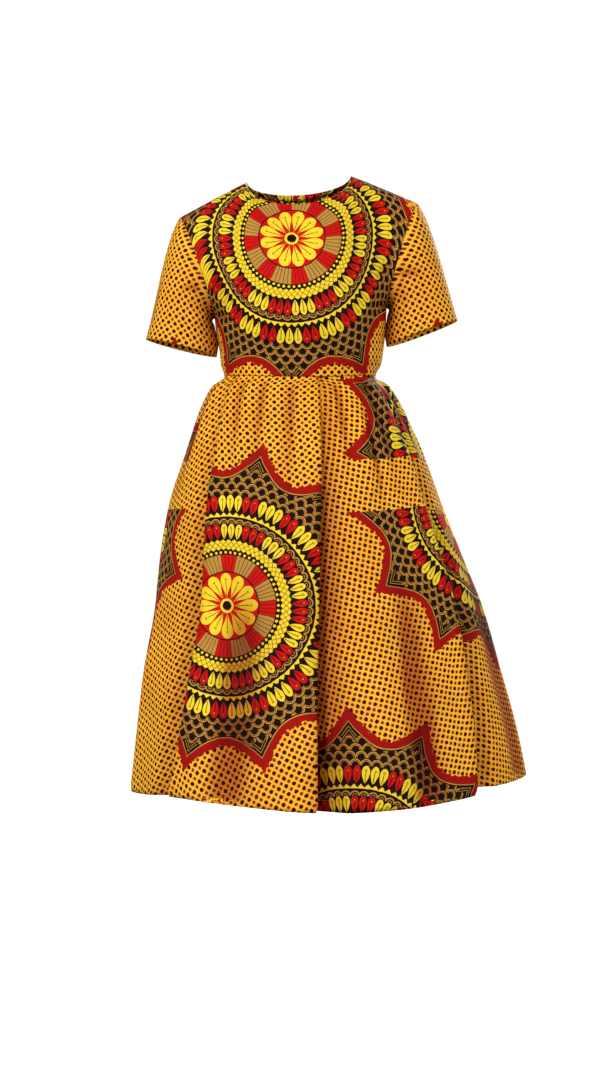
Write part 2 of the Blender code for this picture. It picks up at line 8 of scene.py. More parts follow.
import bpy
import numpy as np
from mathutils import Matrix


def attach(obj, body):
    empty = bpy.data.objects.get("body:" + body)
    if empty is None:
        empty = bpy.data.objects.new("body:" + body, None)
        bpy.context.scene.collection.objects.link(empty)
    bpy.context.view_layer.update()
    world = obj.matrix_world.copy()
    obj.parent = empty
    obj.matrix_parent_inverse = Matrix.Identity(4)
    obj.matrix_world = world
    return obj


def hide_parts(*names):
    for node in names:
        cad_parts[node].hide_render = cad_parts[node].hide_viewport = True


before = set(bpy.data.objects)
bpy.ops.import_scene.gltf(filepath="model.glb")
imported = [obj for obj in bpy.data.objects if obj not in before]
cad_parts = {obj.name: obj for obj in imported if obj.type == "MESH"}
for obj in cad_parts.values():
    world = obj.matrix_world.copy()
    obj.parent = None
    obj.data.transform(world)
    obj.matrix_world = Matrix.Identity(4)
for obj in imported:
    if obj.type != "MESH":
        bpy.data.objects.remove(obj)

bl_info = {
    "name": "Wax Print Dress",
    "version": (1, 0, 0),
    "blender": (4, 5, 0),
    "location": "3D View > Sidebar > Dress",
    "description": "Builds a printed-cotton dress, its sewing and zip, and a studio round the packed model",
    "category": "Object",
}

# Form of the solids, repeated from the part's own sizes

SEAM_GAP = 0.0003
SEAM_BAND = 0.002  # both sides of the waist seam stand upright for this far
SLEEVE_GAP_TOP = 0.0006
SLEEVE_GAP_UNDERARM = 0.0013

WAIST_Z = -0.346
WAIST_DIP = 0.008
UNDERARM_Z = -0.235
SHOULDER_TIP_Z = -0.055
SHOULDER_TIP_X = 0.208
NECK_HALF_WIDTH = 0.091
SHOULDER_SEAM_Y = 0.005
NECK_FRONT = {"depth": 0.083, "drop": 0.057}
NECK_BACK = {"depth": 0.060, "drop": 0.018}
NECK_PITCH = 65.0  # degrees above level, in which the cloth arrives at the neckline
CORNER_REACH = 0.22
CORNER_FADE = 5
NECK_COLUMN = 0.4375  # share across a panel where the neckline meets the shoulder seam
LEAN = 0.0594  # rise of the shoulders to the wearer's left, per metre across
SIDEWAYS_SHIFT = 0.005

UNDERARM_X = 0.150
ARMHOLE_FRONT = 0.060
ARMHOLE_BACK = 0.058
ARMHOLE_HOLLOW = 0.006
ARMHOLE_PACE = 0.85
CUP = {"x": 0.080, "z": -0.262, "rise": 0.010, "spread": 0.050}
ARMHOLE_BLEND = 4  # power of the across share by which the panels bend to the armhole
SLEEVE_HEM = {
    "x": 0.2105,
    "y": -0.004,
    "z": -0.284,
    "half_width": 0.0645,
    "half_depth": 0.060,
    "tilt": 17.0,  # degrees
}
SLEEVE_LEAVES = {"top": 38.0, "underarm": 72.0}  # degrees from straight down
SLEEVE_FLARE = 0.15
SLEEVE_CAP = 0.55
SLEEVE_UNDER = 0.85
SLEEVE_FALL = 0.80

BODICE_COLUMNS = ("z", "half_width", "front", "back", "shift")
BODICE_SECTIONS = (
    (WAIST_Z, 0.1325, 0.105, 0.099, 0.002),
    (WAIST_Z + SEAM_BAND, 0.1325, 0.105, 0.099, 0.002),
    (-0.325, 0.1400, 0.108, 0.100, 0.004),
    (-0.300, 0.1430, 0.115, 0.104, 0.005),
    (-0.265, 0.1480, 0.127, 0.109, 0.004),
    (UNDERARM_Z, UNDERARM_X, 0.131, 0.112, 0.003),
)

SKIRT_COLUMNS = ("drop", "right", "left", "front", "back")
SKIRT_SECTIONS = (
    (0.000, 0.1305, 0.1345, 0.105, 0.099),
    (SEAM_BAND, 0.1305, 0.1345, 0.105, 0.099),
    (0.016, 0.149, 0.153, 0.117, 0.111),
    (0.045, 0.166, 0.173, 0.132, 0.129),
    (0.080, 0.180, 0.191, 0.146, 0.147),
    (0.135, 0.198, 0.217, 0.164, 0.170),
    (0.225, 0.227, 0.250, 0.187, 0.199),
    (0.330, 0.244, 0.292, 0.209, 0.225),
    (0.405, 0.251, 0.322, 0.225, 0.243),
    (0.510, 0.268, 0.352, 0.247, 0.265),
    (0.620, 0.281, 0.382, 0.272, 0.287),
    (0.735, 0.294, 0.405, 0.290, 0.302),
)

HEM_COLUMNS = ("angle", "drop")
HEM_LENGTHS = (
    (-180, 0.725),
    (-120, 0.729),
    (-90, 0.723),
    (-64, 0.715),
    (-46, 0.711),
    (-20, 0.717),
    (10, 0.727),
    (24, 0.724),
    (39, 0.715),
    (47, 0.709),
    (54, 0.698),
    (90, 0.692),
    (135, 0.707),
    (180, 0.725),
)

PLEAT_COLUMNS = ("waist_angle", "mid_angle", "hem_angle", "before", "after", "slant", "depth")
PLEATS = (
    (-154, -155, -156, 0.034, 0.016, 0.030, 0.036),
    (-120, -121, -122, 0.016, 0.036, -0.036, 0.038),
    (-55, -43, -51, 0.040, 0.018, 0.046, 0.044),
    (15, 8, 6, 0.016, 0.044, -0.034, 0.044),
    (64, 59, 50, 0.018, 0.036, -0.030, 0.038),
    (118, 120, 122, 0.036, 0.016, 0.036, 0.038),
    (152, 153, 154, 0.016, 0.034, -0.030, 0.036),
)
PLEAT_PAINTED_SHADES = (0.6, 0.6, 0.45, 1.0, 0.5, 0.6, 0.6)  # how dark the shade painted on the print in each pleat is
PLEAT_AT_WAIST = {"width": 0.55, "depth": 0.06, "slant": 0.0}  # shares of the size at the hem
PLEAT_OPENING = {"width": 1.0, "depth": 0.95, "slant": 1.1}  # powers by which each grows down the skirt
SLANT_FALL = 1.7  # power by which the slant fades across a pleat's flanks
LONGEST_PANEL = 0.725  # lengths from the waist seam to the hem
USUAL_PANEL = 0.715

ZIP_HALF_WIDTH = 0.011
ZIP_INSET = 0.0014
ZIP_TOP_Z = -0.0365
ZIP_BELOW_WAIST = 0.150
SLIDER_SLOT = 0.0030
SLIDER_SLOT_FROM_Z = -0.044
SLIDER_SLOT_TO_Z = -0.037
SLOT_CLOSES_FROM_Z = -0.0235  # above the slider the edges meet again
SLOT_CLOSES_TO_Z = -0.0200

# Mesh density of the fine shells

PLAIN_SPANS = 16  # columns between two pleats
FLANK_SPANS = 12  # columns across a pleat's flank
ZONE_SPANS = PLAIN_SPANS + 2 * FLANK_SPANS  # columns from one pleat's middle to the next
FLANK_EASE = 0.8  # below 1, columns lie closer to the pleat's middle
SKIRT_ROWS = 110
SKIRT_ROW_EASE = 1.15  # above 1, rows lie closer to the waist
BODICE_SPANS = 96
BODICE_LOWER_ROWS = 26
BODICE_UPPER_ROWS = 62
SHOULDER_BAND = 0.012
SLEEVE_SPANS = 96
SLEEVE_ROWS = 52
SLEEVE_ROW_EASE = 1.1
CREASE_STEPS = 17  # points along a crease's path

# Where shade is painted on the print, and where it shows only its ground

SHADE_REACH = 0.85  # of a pleat's flank
SHADE_AT_WAIST = 0.45
FULL_SHADE_FROM = 0.5  # share of the length past which a pleat is at its darkest
DEEP_TROUGH = 0.0035
TROUGH_PAINTED_SHADE = 0.8
UNDERARM_PAINTED_SHADE = {"at_seam": 0.85, "at_hem": 0.55, "reach": 58.0}  # reach in degrees round the arm
FAR_AWAY = 9.0  # a place in the medallion map where there is only ground
HEM_SLOPE_ROWS = 20  # rows over which the cloth's slope at the hem is taken
PRINT_SLACK = 0.001

# Lines of a turned edge: each one's share of the turning's width, back from the fold, and of its depth

TURN_STEPS = ((0.02, 0.55), (0.25, 1.0), (0.6, 1.0), (1.0, 1.0))
ALL_EDGES = ((1, "first"), (1, "last"), (0, "first"), (0, "last"))
# the shade map holds how much shade is painted on the print at each place
MAP_NAMES = ("ground", "medallion", "shade")


# Numbers


def smooth(x):
    """A soft step from 0 to 1."""
    x = np.clip(x, 0.0, 1.0)
    return x * x * (3 - 2 * x)


def hermite(start, start_slope, end, end_slope, s):
    """A cubic from start to end with those slopes, at the shares s."""
    return (
        start * (1 + 2 * s) * (1 - s) ** 2
        + start_slope * s * (1 - s) ** 2
        + end * s * s * (3 - 2 * s)
        + end_slope * s * s * (s - 1)
    )


def look_up(sections, columns, name, at):
    """A section table's column at any heights, on a curve with no overshoot between its rows."""
    rows = np.array(sections, float)
    x, y = rows[:, 0], rows[:, columns.index(name)]
    steps = np.diff(y) / np.diff(x)
    slopes = np.zeros(len(x))
    both = steps[:-1] * steps[1:] > 0
    before, after = steps[:-1][both], steps[1:][both]
    slopes[1:-1][both] = 2 * before * after / (before + after)
    slopes[0], slopes[-1] = steps[0], steps[-1]
    at = np.clip(at, x[0], x[-1])
    i = np.clip(np.searchsorted(x, at) - 1, 0, len(x) - 2)
    width = x[i + 1] - x[i]
    return hermite(y[i], width * slopes[i], y[i + 1], width * slopes[i + 1], (at - x[i]) / width)


def length_of(vectors):
    return np.linalg.norm(vectors, axis=-1, keepdims=True)


def unit(vectors):
    return vectors / np.maximum(length_of(vectors), 1e-12)


def stacked(x, y, z):
    """Points from their three coordinates, any of which may be one number for all."""
    x, y, z = np.broadcast_arrays(x, y, z)
    return np.stack([x, y, z], axis=-1).astype(float)


# Bodice form


def leaned(points, share=None):
    """The points after the shoulders tip to the wearer's right."""
    if share is None:
        share = smooth((points[..., 2] - WAIST_Z) / (UNDERARM_Z - WAIST_Z))
    points = points.copy()
    points[..., 2] += LEAN * points[..., 0] * share
    return points


def torso_section(z, across, facing):
    """Points round the torso at a height, across from -1 at one side seam to 1 at the other."""
    half_width = look_up(BODICE_SECTIONS, BODICE_COLUMNS, "half_width", z)
    depth = look_up(BODICE_SECTIONS, BODICE_COLUMNS, facing, z)
    shift = look_up(BODICE_SECTIONS, BODICE_COLUMNS, "shift", z)
    turn = across * math.pi / 2
    away = -1 if facing == "front" else 1
    return stacked(shift + half_width * np.sin(turn), away * depth * np.cos(turn), z)


def armhole(side, turn):
    """Points on the armhole seam: turn goes round from the shoulder by the front."""
    middle_z = (SHOULDER_TIP_Z + UNDERARM_Z) / 2
    half_height = (SHOULDER_TIP_Z - UNDERARM_Z) / 2
    middle_x = (SHOULDER_TIP_X + UNDERARM_X) / 2
    half_spread = (SHOULDER_TIP_X - UNDERARM_X) / 2
    depth = np.where(np.sin(turn) > 0, ARMHOLE_FRONT, ARMHOLE_BACK)
    low = (1 - np.cos(turn)) / 2
    shift = look_up(BODICE_SECTIONS, BODICE_COLUMNS, "shift", UNDERARM_Z) * low
    x = middle_x + half_spread * np.cos(turn) - ARMHOLE_HOLLOW * np.abs(np.sin(turn))
    y = SHOULDER_SEAM_Y * (1 - low) - depth * np.sin(turn)
    return stacked(shift + side * x, y, middle_z + half_height * np.cos(turn))


def top_edge(across, facing):
    """Points along a panel's top: the neckline in the middle and a shoulder seam on each side."""
    side = np.where(across >= 0, 1.0, -1.0)
    reach = np.abs(across)
    neck = NECK_FRONT if facing == "front" else NECK_BACK
    away = -1 if facing == "front" else 1
    turn = np.minimum(reach / NECK_COLUMN, 1.0) * math.pi / 2
    neckline = stacked(
        side * NECK_HALF_WIDTH * np.sin(turn),
        SHOULDER_SEAM_Y + away * neck["depth"] * np.cos(turn),
        -neck["drop"] * np.cos(turn),
    )
    along = np.maximum(reach - NECK_COLUMN, 0.0) / (1 - NECK_COLUMN)
    seam_x = NECK_HALF_WIDTH + (SHOULDER_TIP_X - NECK_HALF_WIDTH) * along
    seam = stacked(side * seam_x, SHOULDER_SEAM_Y, SHOULDER_TIP_Z * along)
    return np.where((reach <= NECK_COLUMN)[..., None], neckline, seam)


def eased_edge(across, facing):
    """The top edge with its corners at the neckline's ends rounded off."""
    offsets = np.linspace(-CORNER_REACH, CORNER_REACH, 9)
    weights = np.cos(offsets / CORNER_REACH * math.pi / 2)
    edges = [top_edge(np.clip(across + offset, -1, 1), facing) for offset in offsets]
    return np.average(edges, axis=0, weights=weights)


def upper_column(across, rise, facing):
    """Points up a column, from the underarm's level to the top edge, before it bends to the armhole."""
    away = -1 if facing == "front" else 1
    level = np.full_like(across, UNDERARM_Z)
    start = torso_section(level, across, facing)
    leaving = unit(start - torso_section(level - 0.01, across, facing))
    end = eased_edge(across, facing)
    share = np.cos(np.minimum(np.abs(across) / NECK_COLUMN, 1.0) * math.pi / 2) ** 2
    pitch = math.radians(NECK_PITCH) * share
    arriving = stacked(0.0, -away * np.cos(pitch), np.sin(pitch))
    span = length_of(end - start)
    rise = rise[..., None]
    points = hermite(start, leaving * span, end, arriving * span, rise)
    return points + (top_edge(across, facing) - end) * rise**CORNER_FADE


def bodice_points(across, height, facing):
    """Points on the bodice: across from -1 to 1, height 0 at the waist, 1 at the underarm, 2 at the top."""
    across, height = np.broadcast_arrays(np.asarray(across, float), np.asarray(height, float))
    below = np.minimum(height, 1.0)
    low = torso_section(WAIST_Z + (UNDERARM_Z - WAIST_Z) * below, across, facing)
    if facing == "front":
        low[..., 2] -= WAIST_DIP * np.cos(across * math.pi / 2) ** 2 * (1 - below)
    rise = np.clip(height - 1, 0.0, 1.0)
    side = np.where(across >= 0, 1.0, -1.0)
    turn = math.pi * (1 - rise**ARMHOLE_PACE) * (1 if facing == "front" else -1)
    drawn_in = armhole(side, turn) - upper_column(side, rise, facing)
    outer = np.abs(across) ** ARMHOLE_BLEND
    high = upper_column(across, rise, facing) + drawn_in * outer[..., None]
    points = np.where((height <= 1)[..., None], low, high)
    if facing == "front":
        for cup_side in (-1, 1):
            apart = (points[..., 0] - cup_side * CUP["x"]) ** 2 + (points[..., 2] - CUP["z"]) ** 2
            points[..., 1] -= CUP["rise"] * np.exp(-apart / (2 * CUP["spread"] ** 2)) * (1 - outer)
    return leaned(points)


# Sleeve form


def sleeve_points(side, turn, along):
    """Points on a sleeve: turn goes round from the shoulder by the front, along from armhole to hem."""
    under = (1 - np.cos(turn)) / 2
    leaving = np.radians(SLEEVE_LEAVES["top"] + (SLEEVE_LEAVES["underarm"] - SLEEVE_LEAVES["top"]) * under)
    outward = unit(stacked(side * np.sin(leaving), -SLEEVE_FLARE * np.sin(turn), -np.cos(leaving)))
    gap = SLEEVE_GAP_TOP + (SLEEVE_GAP_UNDERARM - SLEEVE_GAP_TOP) * under**2
    start = armhole(side, turn) + outward * gap[..., None]
    tilt = math.radians(SLEEVE_HEM["tilt"])
    centre = np.array([SIDEWAYS_SHIFT + side * SLEEVE_HEM["x"], SLEEVE_HEM["y"], SLEEVE_HEM["z"]])
    across = np.array([side * math.cos(tilt), 0.0, math.sin(tilt)])
    down = np.array([side * math.sin(tilt), 0.0, -math.cos(tilt)])
    end = (
        centre
        + across * (SLEEVE_HEM["half_width"] * np.cos(turn))[..., None]
        + stacked(0.0, -SLEEVE_HEM["half_depth"] * np.sin(turn), 0.0)
    )
    span = length_of(end - start)
    fullness = (SLEEVE_CAP + (SLEEVE_UNDER - SLEEVE_CAP) * under)[..., None]
    points = hermite(start, outward * span * fullness, end, down * span * SLEEVE_FALL, along[..., None])
    return leaned(points, 1.0)


# Skirt form


def skirt_outline(angle, drop):
    """Points on the skirt's form without its pleats, and the level directions out of it."""
    wide = np.where(
        np.sin(angle) > 0,
        look_up(SKIRT_SECTIONS, SKIRT_COLUMNS, "left", drop),
        look_up(SKIRT_SECTIONS, SKIRT_COLUMNS, "right", drop),
    )
    deep = np.where(
        np.cos(angle) > 0,
        look_up(SKIRT_SECTIONS, SKIRT_COLUMNS, "front", drop),
        look_up(SKIRT_SECTIONS, SKIRT_COLUMNS, "back", drop),
    )
    points = stacked(wide * np.sin(angle), -deep * np.cos(angle), WAIST_Z - drop)
    return points, unit(stacked(np.sin(angle) / wide, -np.cos(angle) / deep, 0.0))


def pleat_size(kind, down):
    """A pleat's width, depth or slant at each share of the length, as a share of its size at the hem."""
    return PLEAT_AT_WAIST[kind] + (1 - PLEAT_AT_WAIST[kind]) * down ** PLEAT_OPENING[kind]


def pleat_centre(row, down):
    """The angle of a pleat's middle at each share of the length, in radians."""
    bow = row["mid_angle"] - (row["waist_angle"] + row["hem_angle"]) / 2
    straight = row["waist_angle"] + (row["hem_angle"] - row["waist_angle"]) * down
    return np.radians(straight + 4 * bow * down * (1 - down))


def skirt_radius(angle, drop):
    """Metres round the skirt's form for each radian."""
    step = 0.01
    ahead, behind = skirt_outline(angle + step, drop)[0], skirt_outline(angle - step, drop)[0]
    return length_of(ahead - behind)[..., 0] / (2 * step)


def pleated(angle, down, drop):
    """How far the pleats move the cloth sideways and inwards, and how much shade is painted on the print in
    them.
    """
    shift, depth, nearness = np.zeros_like(angle), np.zeros_like(angle), np.zeros_like(angle)
    for pleat, shade in zip(PLEATS, PLEAT_PAINTED_SHADES):
        row = dict(zip(PLEAT_COLUMNS, pleat))
        centre = pleat_centre(row, down)
        radius = skirt_radius(centre, drop)
        away = (angle - centre) * radius
        flank = np.where(away < 0, row["before"], row["after"])
        distance = np.abs(away) / (flank * pleat_size("width", down))
        fall = np.cos(math.pi * np.minimum(distance, 1.0) / 2) ** 2
        depth += row["depth"] * pleat_size("depth", down) * fall
        shift += row["slant"] * pleat_size("slant", down) * fall**SLANT_FALL / radius
        nearness = np.maximum(nearness, np.exp(-((distance / SHADE_REACH) ** 2)) * shade)
    return shift, depth, nearness


def skirt_points(angle, down):
    """Points on the skirt: angle round from the centre front, down from 0 at the waist to 1 at the hem."""
    angle, down = np.broadcast_arrays(np.asarray(angle, float), np.asarray(down, float))
    drop = down * look_up(HEM_LENGTHS, HEM_COLUMNS, "drop", np.degrees(angle))
    shift, depth, _ = pleated(angle, down, drop)
    points, outward = skirt_outline(angle + shift, drop)
    points[..., 2] -= WAIST_DIP * np.maximum(np.cos(angle), 0.0) ** 2 * (1 - down)
    return points - outward * depth[..., None]


def skirt_angles(first, last, downs):
    """Angles of a panel's columns, a row for each share of the length. They run down the pleats."""
    plain = np.linspace(0.0, 1.0, PLAIN_SPANS + 1)[1:]
    flank = np.linspace(0.0, 1.0, FLANK_SPANS + 1)[1:]
    table = []
    for down in downs:
        knots, shares = [math.radians(first)], []
        drop = down * look_up(HEM_LENGTHS, HEM_COLUMNS, "drop", (first + last) / 2)
        for pleat in PLEATS:
            row = dict(zip(PLEAT_COLUMNS, pleat))
            if not first < row["waist_angle"] < last:
                continue
            centre = float(pleat_centre(row, down))
            width = pleat_size("width", down) / float(skirt_radius(np.array(centre), np.array(drop)))
            knots += [centre - row["before"] * width, centre, centre + row["after"] * width]
            shares += [plain, flank**FLANK_EASE, 1 - (1 - flank) ** FLANK_EASE]
        knots.append(math.radians(last))
        shares.append(plain)
        angles = [knots[0]]
        for begin, end, part in zip(knots, knots[1:], shares):
            angles += list(begin + (end - begin) * part)
        table.append(angles)
    return np.array(table)


# Cloth shells: a grid of points, with a row for each step down (or up) a piece and a column for each across


def normals_out(points, inside):
    """Normals at a grid's points, turned away from the places inside it."""
    across = np.gradient(points, axis=1)
    down = np.gradient(points, axis=0)
    normals = unit(np.cross(across, down))
    facing = np.sum(normals * (points - inside), axis=-1)
    return normals if facing.mean() > 0 else -normals


def faces_in(points, normals):
    """Whether faces wound in the grid's own order would look in, tried at its middle."""
    row, column = points.shape[0] // 2, points.shape[1] // 2
    here = points[row, column]
    wound = np.cross(points[row, column + 1] - here, points[row + 1, column] - here)
    return np.dot(wound, normals[row, column]) < 0


def on_axis(points):
    """The places level with the points on the dress's upright axis."""
    return points * np.array([0.0, 0.0, 1.0])


def runs(points, axis):
    """Lengths along each row (axis 1) or column (axis 0) from its start."""
    steps = np.linalg.norm(np.diff(points, axis=axis), axis=-1)
    first = [(1, 0), (0, 0)] if axis == 0 else [(0, 0), (1, 0)]
    return np.cumsum(np.pad(steps, first), axis=axis)


CREASE_COLUMNS = (
    "from_across",
    "from_along",
    "to_across",
    "to_along",
    "bow",
    "half_width",
    "rise",
    "fade_in",
    "fade_out",
)


def creased(points, normals, creases, place):
    """The points moved along their normals by soft ridges and troughs, and how far each has moved.

    A crease runs from one place to another on the piece and bows sideways between them. It has a half
    width, a rise (negative is a trough) and a share of its length over which each end fades.
    """
    moved = np.zeros(points.shape[:2])
    for crease in creases:
        row = dict(zip(CREASE_COLUMNS, crease))
        t = np.linspace(0.0, 1.0, CREASE_STEPS)
        bow = row["bow"] * np.sin(math.pi * t)
        first = row["from_across"] + (row["to_across"] - row["from_across"]) * t + bow
        second = row["from_along"] + (row["to_along"] - row["from_along"]) * t
        path = place(first, second)
        nearest = np.full(points.shape[:2], np.inf)
        share = np.zeros(points.shape[:2])
        for i in range(len(path) - 1):
            span = path[i + 1] - path[i]
            s = np.clip(np.sum((points - path[i]) * span, axis=-1) / max(np.dot(span, span), 1e-12), 0, 1)
            apart = np.linalg.norm(points - path[i] - s[..., None] * span, axis=-1)
            closer = apart < nearest
            nearest[closer] = apart[closer]
            share[closer] = (t[i] + s * (t[i + 1] - t[i]))[closer]
        ends = smooth(share / row["fade_in"]) * smooth((1 - share) / row["fade_out"])
        moved += row["rise"] * np.exp(-((nearest / row["half_width"]) ** 2)) * ends
    return points + normals * moved[..., None], moved


def painted_shade_map(nearness, moved):
    """A map whose first value is 1 deep in a pleat or trough and 0 on open cloth, for the shade painted on
    the print.
    """
    troughs = np.clip(-moved / DEEP_TROUGH, 0.0, 1.0) * TROUGH_PAINTED_SHADE
    return np.stack([np.maximum(nearness, troughs), np.zeros_like(moved)], axis=-1)


def turned_under(points, normals, maps, axis, end, turn, gap):
    """The grid with a strip added at one end, which folds under and lies inside the cloth."""
    line = (lambda k: (slice(None), k)) if axis == 1 else (lambda k: (k, slice(None)))
    last = points.shape[axis] - 1
    lengths = runs(points, axis)
    total = lengths[line(last)]
    strip, strip_normals, strip_maps = [], [], [[] for _ in maps]
    for back, inward in TURN_STEPS:
        reach = back * turn
        at = total - reach if end == "last" else np.full_like(total, reach)
        k = np.clip(np.sum(np.moveaxis(lengths, axis, 0) <= at, axis=0) - 1, 0, last - 1)
        index = (k, np.arange(len(k))) if axis == 0 else (np.arange(len(k)), k)
        after = (k + 1, np.arange(len(k))) if axis == 0 else (np.arange(len(k)), k + 1)
        s = ((at - lengths[index]) / np.maximum(lengths[after] - lengths[index], 1e-9))[:, None]
        s = np.clip(s, 0.0, 1.0)
        here = points[index] * (1 - s) + points[after] * s
        away = unit(normals[index] * (1 - s) + normals[after] * s)
        strip.append(here - away * gap * inward)
        strip_normals.append(away)
        for held, layer in zip(strip_maps, maps):
            edge = layer[line(last if end == "last" else 0)]
            inner = layer[index] * (1 - s) + layer[after] * s
            held.append(2 * edge - inner)

    def joined(grid, lines):
        if end == "last":
            return np.concatenate([grid, np.stack(lines, axis=axis)], axis=axis)
        return np.concatenate([np.stack(lines[::-1], axis=axis), grid], axis=axis)

    maps = [joined(layer, held) for layer, held in zip(maps, strip_maps)]
    return joined(points, strip), joined(normals, strip_normals), maps


def cloth_mesh(name, points, corner_maps, closed=False, flip=False):
    """A mesh from a grid. corner_maps holds, for each UV map, an array of (rows, columns, 4 corners, 2)."""
    rows, columns = points.shape[:2]
    spans = columns - 1
    wrap = spans if closed else columns
    index = np.arange(rows * wrap).reshape(rows, wrap)
    r, c = np.meshgrid(np.arange(rows - 1), np.arange(spans), indexing="ij")
    corners = np.stack(
        [index[r, c], index[r, (c + 1) % wrap], index[r + 1, (c + 1) % wrap], index[r + 1, c]], axis=-1
    )
    order = [3, 2, 1, 0] if flip else [0, 1, 2, 3]
    faces = corners[..., order].reshape(-1, 4)
    mesh = bpy.data.meshes.new(name)
    mesh.from_pydata(points[:, :wrap].reshape(-1, 3).tolist(), [], faces.tolist())
    for layer_name, values in corner_maps.items():
        layer = mesh.uv_layers.new(name=layer_name)
        layer.data.foreach_set("uv", values[:, :, order].astype(np.float32).ravel())
    mesh.validate()
    mesh.shade_smooth()
    return mesh


def corners_of(layer):
    """A grid's map values at each face's four corners."""
    return np.stack([layer[:-1, :-1], layer[:-1, 1:], layer[1:, 1:], layer[1:, :-1]], axis=2)


def nearest_medallion(candidates):
    """For each face, the map of the medallion whose middle is nearest.

    A face that is partly far away is wholly so.
    """
    corners = np.stack([corners_of(layer) for layer in candidates])
    corners[(np.abs(corners) > FAR_AWAY / 2).any(axis=(3, 4))] = FAR_AWAY
    middles = np.linalg.norm(corners.mean(axis=3), axis=-1)
    choice = np.argmin(middles, axis=0)
    rows, columns = choice.shape
    return corners[choice, np.arange(rows)[:, None], np.arange(columns)[None, :]]


def linked(name, data):
    """A new object in the scene, at the origin."""
    made = bpy.data.objects.new(name, data)
    bpy.context.scene.collection.objects.link(made)
    return made


def show(node, mesh, material, sizes):
    """A cloth piece of the cloth's thickness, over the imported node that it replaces."""
    piece = linked(node + "_cloth", mesh)
    mesh.materials.append(material)
    shell = piece.modifiers.new("Cloth", "SOLIDIFY")
    shell.thickness = sizes.cloth
    shell.offset = 0.0
    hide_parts(node)
    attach(piece, "dress")
    return piece


# Bodice pieces

BODICE_CREASES = {
    # drag lines from the underarm and the bust, and short ones above the waist seam
    "bodice_front": (
        (-0.88, 1.03, -0.52, 0.90, 0.010, 0.0070, -0.0022, 0.25, 0.60),
        (-0.92, 0.92, -0.60, 0.72, 0.010, 0.0080, 0.0018, 0.30, 0.50),
        (0.90, 1.06, 0.50, 0.92, -0.010, 0.0075, -0.0024, 0.25, 0.60),
        (0.93, 0.90, 0.62, 0.70, -0.015, 0.0080, 0.0018, 0.30, 0.50),
        (-0.86, 1.30, -0.62, 1.10, 0.000, 0.0060, -0.0018, 0.30, 0.60),
        (0.86, 1.34, 0.60, 1.12, 0.000, 0.0065, -0.0020, 0.30, 0.60),
        (-0.55, 0.02, -0.48, 0.42, 0.010, 0.0060, 0.0014, 0.20, 0.70),
        (-0.30, 0.00, -0.28, 0.30, 0.000, 0.0055, 0.0010, 0.20, 0.70),
        (0.34, 0.00, 0.30, 0.36, 0.000, 0.0060, 0.0012, 0.20, 0.70),
        (0.62, 0.02, 0.56, 0.45, -0.010, 0.0060, 0.0014, 0.20, 0.70),
        (-0.80, 0.20, -0.56, 0.10, 0.000, 0.0055, -0.0012, 0.25, 0.50),
        (0.82, 0.24, 0.55, 0.12, 0.000, 0.0055, -0.0012, 0.25, 0.50),
    ),
    "bodice_back_left": (
        (0.90, 1.06, 0.52, 0.95, 0.000, 0.0075, -0.0022, 0.25, 0.60),
        (0.92, 0.84, 0.50, 0.66, 0.000, 0.0080, 0.0018, 0.30, 0.50),
        (0.20, 0.06, 0.42, 0.22, 0.000, 0.0070, -0.0016, 0.30, 0.60),
        (0.60, 1.45, 0.30, 1.25, 0.000, 0.0080, -0.0014, 0.40, 0.60),
    ),
    "bodice_back_right": (
        (-0.90, 1.04, -0.50, 0.93, 0.000, 0.0075, -0.0022, 0.25, 0.60),
        (-0.92, 0.80, -0.55, 0.64, 0.000, 0.0080, 0.0018, 0.30, 0.50),
        (-0.18, 0.10, -0.40, 0.24, 0.000, 0.0070, -0.0016, 0.30, 0.60),
        (-0.62, 1.42, -0.34, 1.22, 0.000, 0.0080, -0.0014, 0.40, 0.60),
    ),
}

BODICE_MIDDLE_Y = 0.01
CHEST_MEDALLION = {"x": -0.012, "z": -0.120}
BACK_MEDALLION = {"x": 0.0, "z": -0.135}


def centre_back_gap(z):
    """Half the gap between the centre-back edges, which part round the slider."""
    opened = smooth((z - SLIDER_SLOT_FROM_Z) / (SLIDER_SLOT_TO_Z - SLIDER_SLOT_FROM_Z))
    closed = smooth((z - SLOT_CLOSES_FROM_Z) / (SLOT_CLOSES_TO_Z - SLOT_CLOSES_FROM_Z))
    return (SEAM_GAP + (SLIDER_SLOT - SEAM_GAP) * opened * (1 - closed)) / 2


def bodice_heights():
    """Heights of the rows, with one on the waist seam's upright band and one on the shoulder seam's."""
    band = SEAM_BAND / (UNDERARM_Z - WAIST_Z)
    lower = np.concatenate([[0.0], np.linspace(band, 1.0, BODICE_LOWER_ROWS)])
    upper = np.linspace(1.0, 2.0 - SHOULDER_BAND, BODICE_UPPER_ROWS)[1:]
    return np.concatenate([lower, upper, [2.0]])


def bodice_maps(points, middle_column, centre):
    """(ground, medallion) maps: lengths across each row from the centre, up each column from the waist."""
    level = points * np.array([1.0, 1.0, 0.0])
    upright = points * np.array([0.0, 1.0, 1.0])
    across = runs(level, 1)
    across = across - across[:, [middle_column]] + points[:, [middle_column], 0]
    up = runs(upright, 0)
    ground = np.stack([across, up], axis=-1)
    centre_up = np.interp(centre["z"], points[:, middle_column, 2], up[:, middle_column])
    return ground, ground - np.array([centre["x"], centre_up])


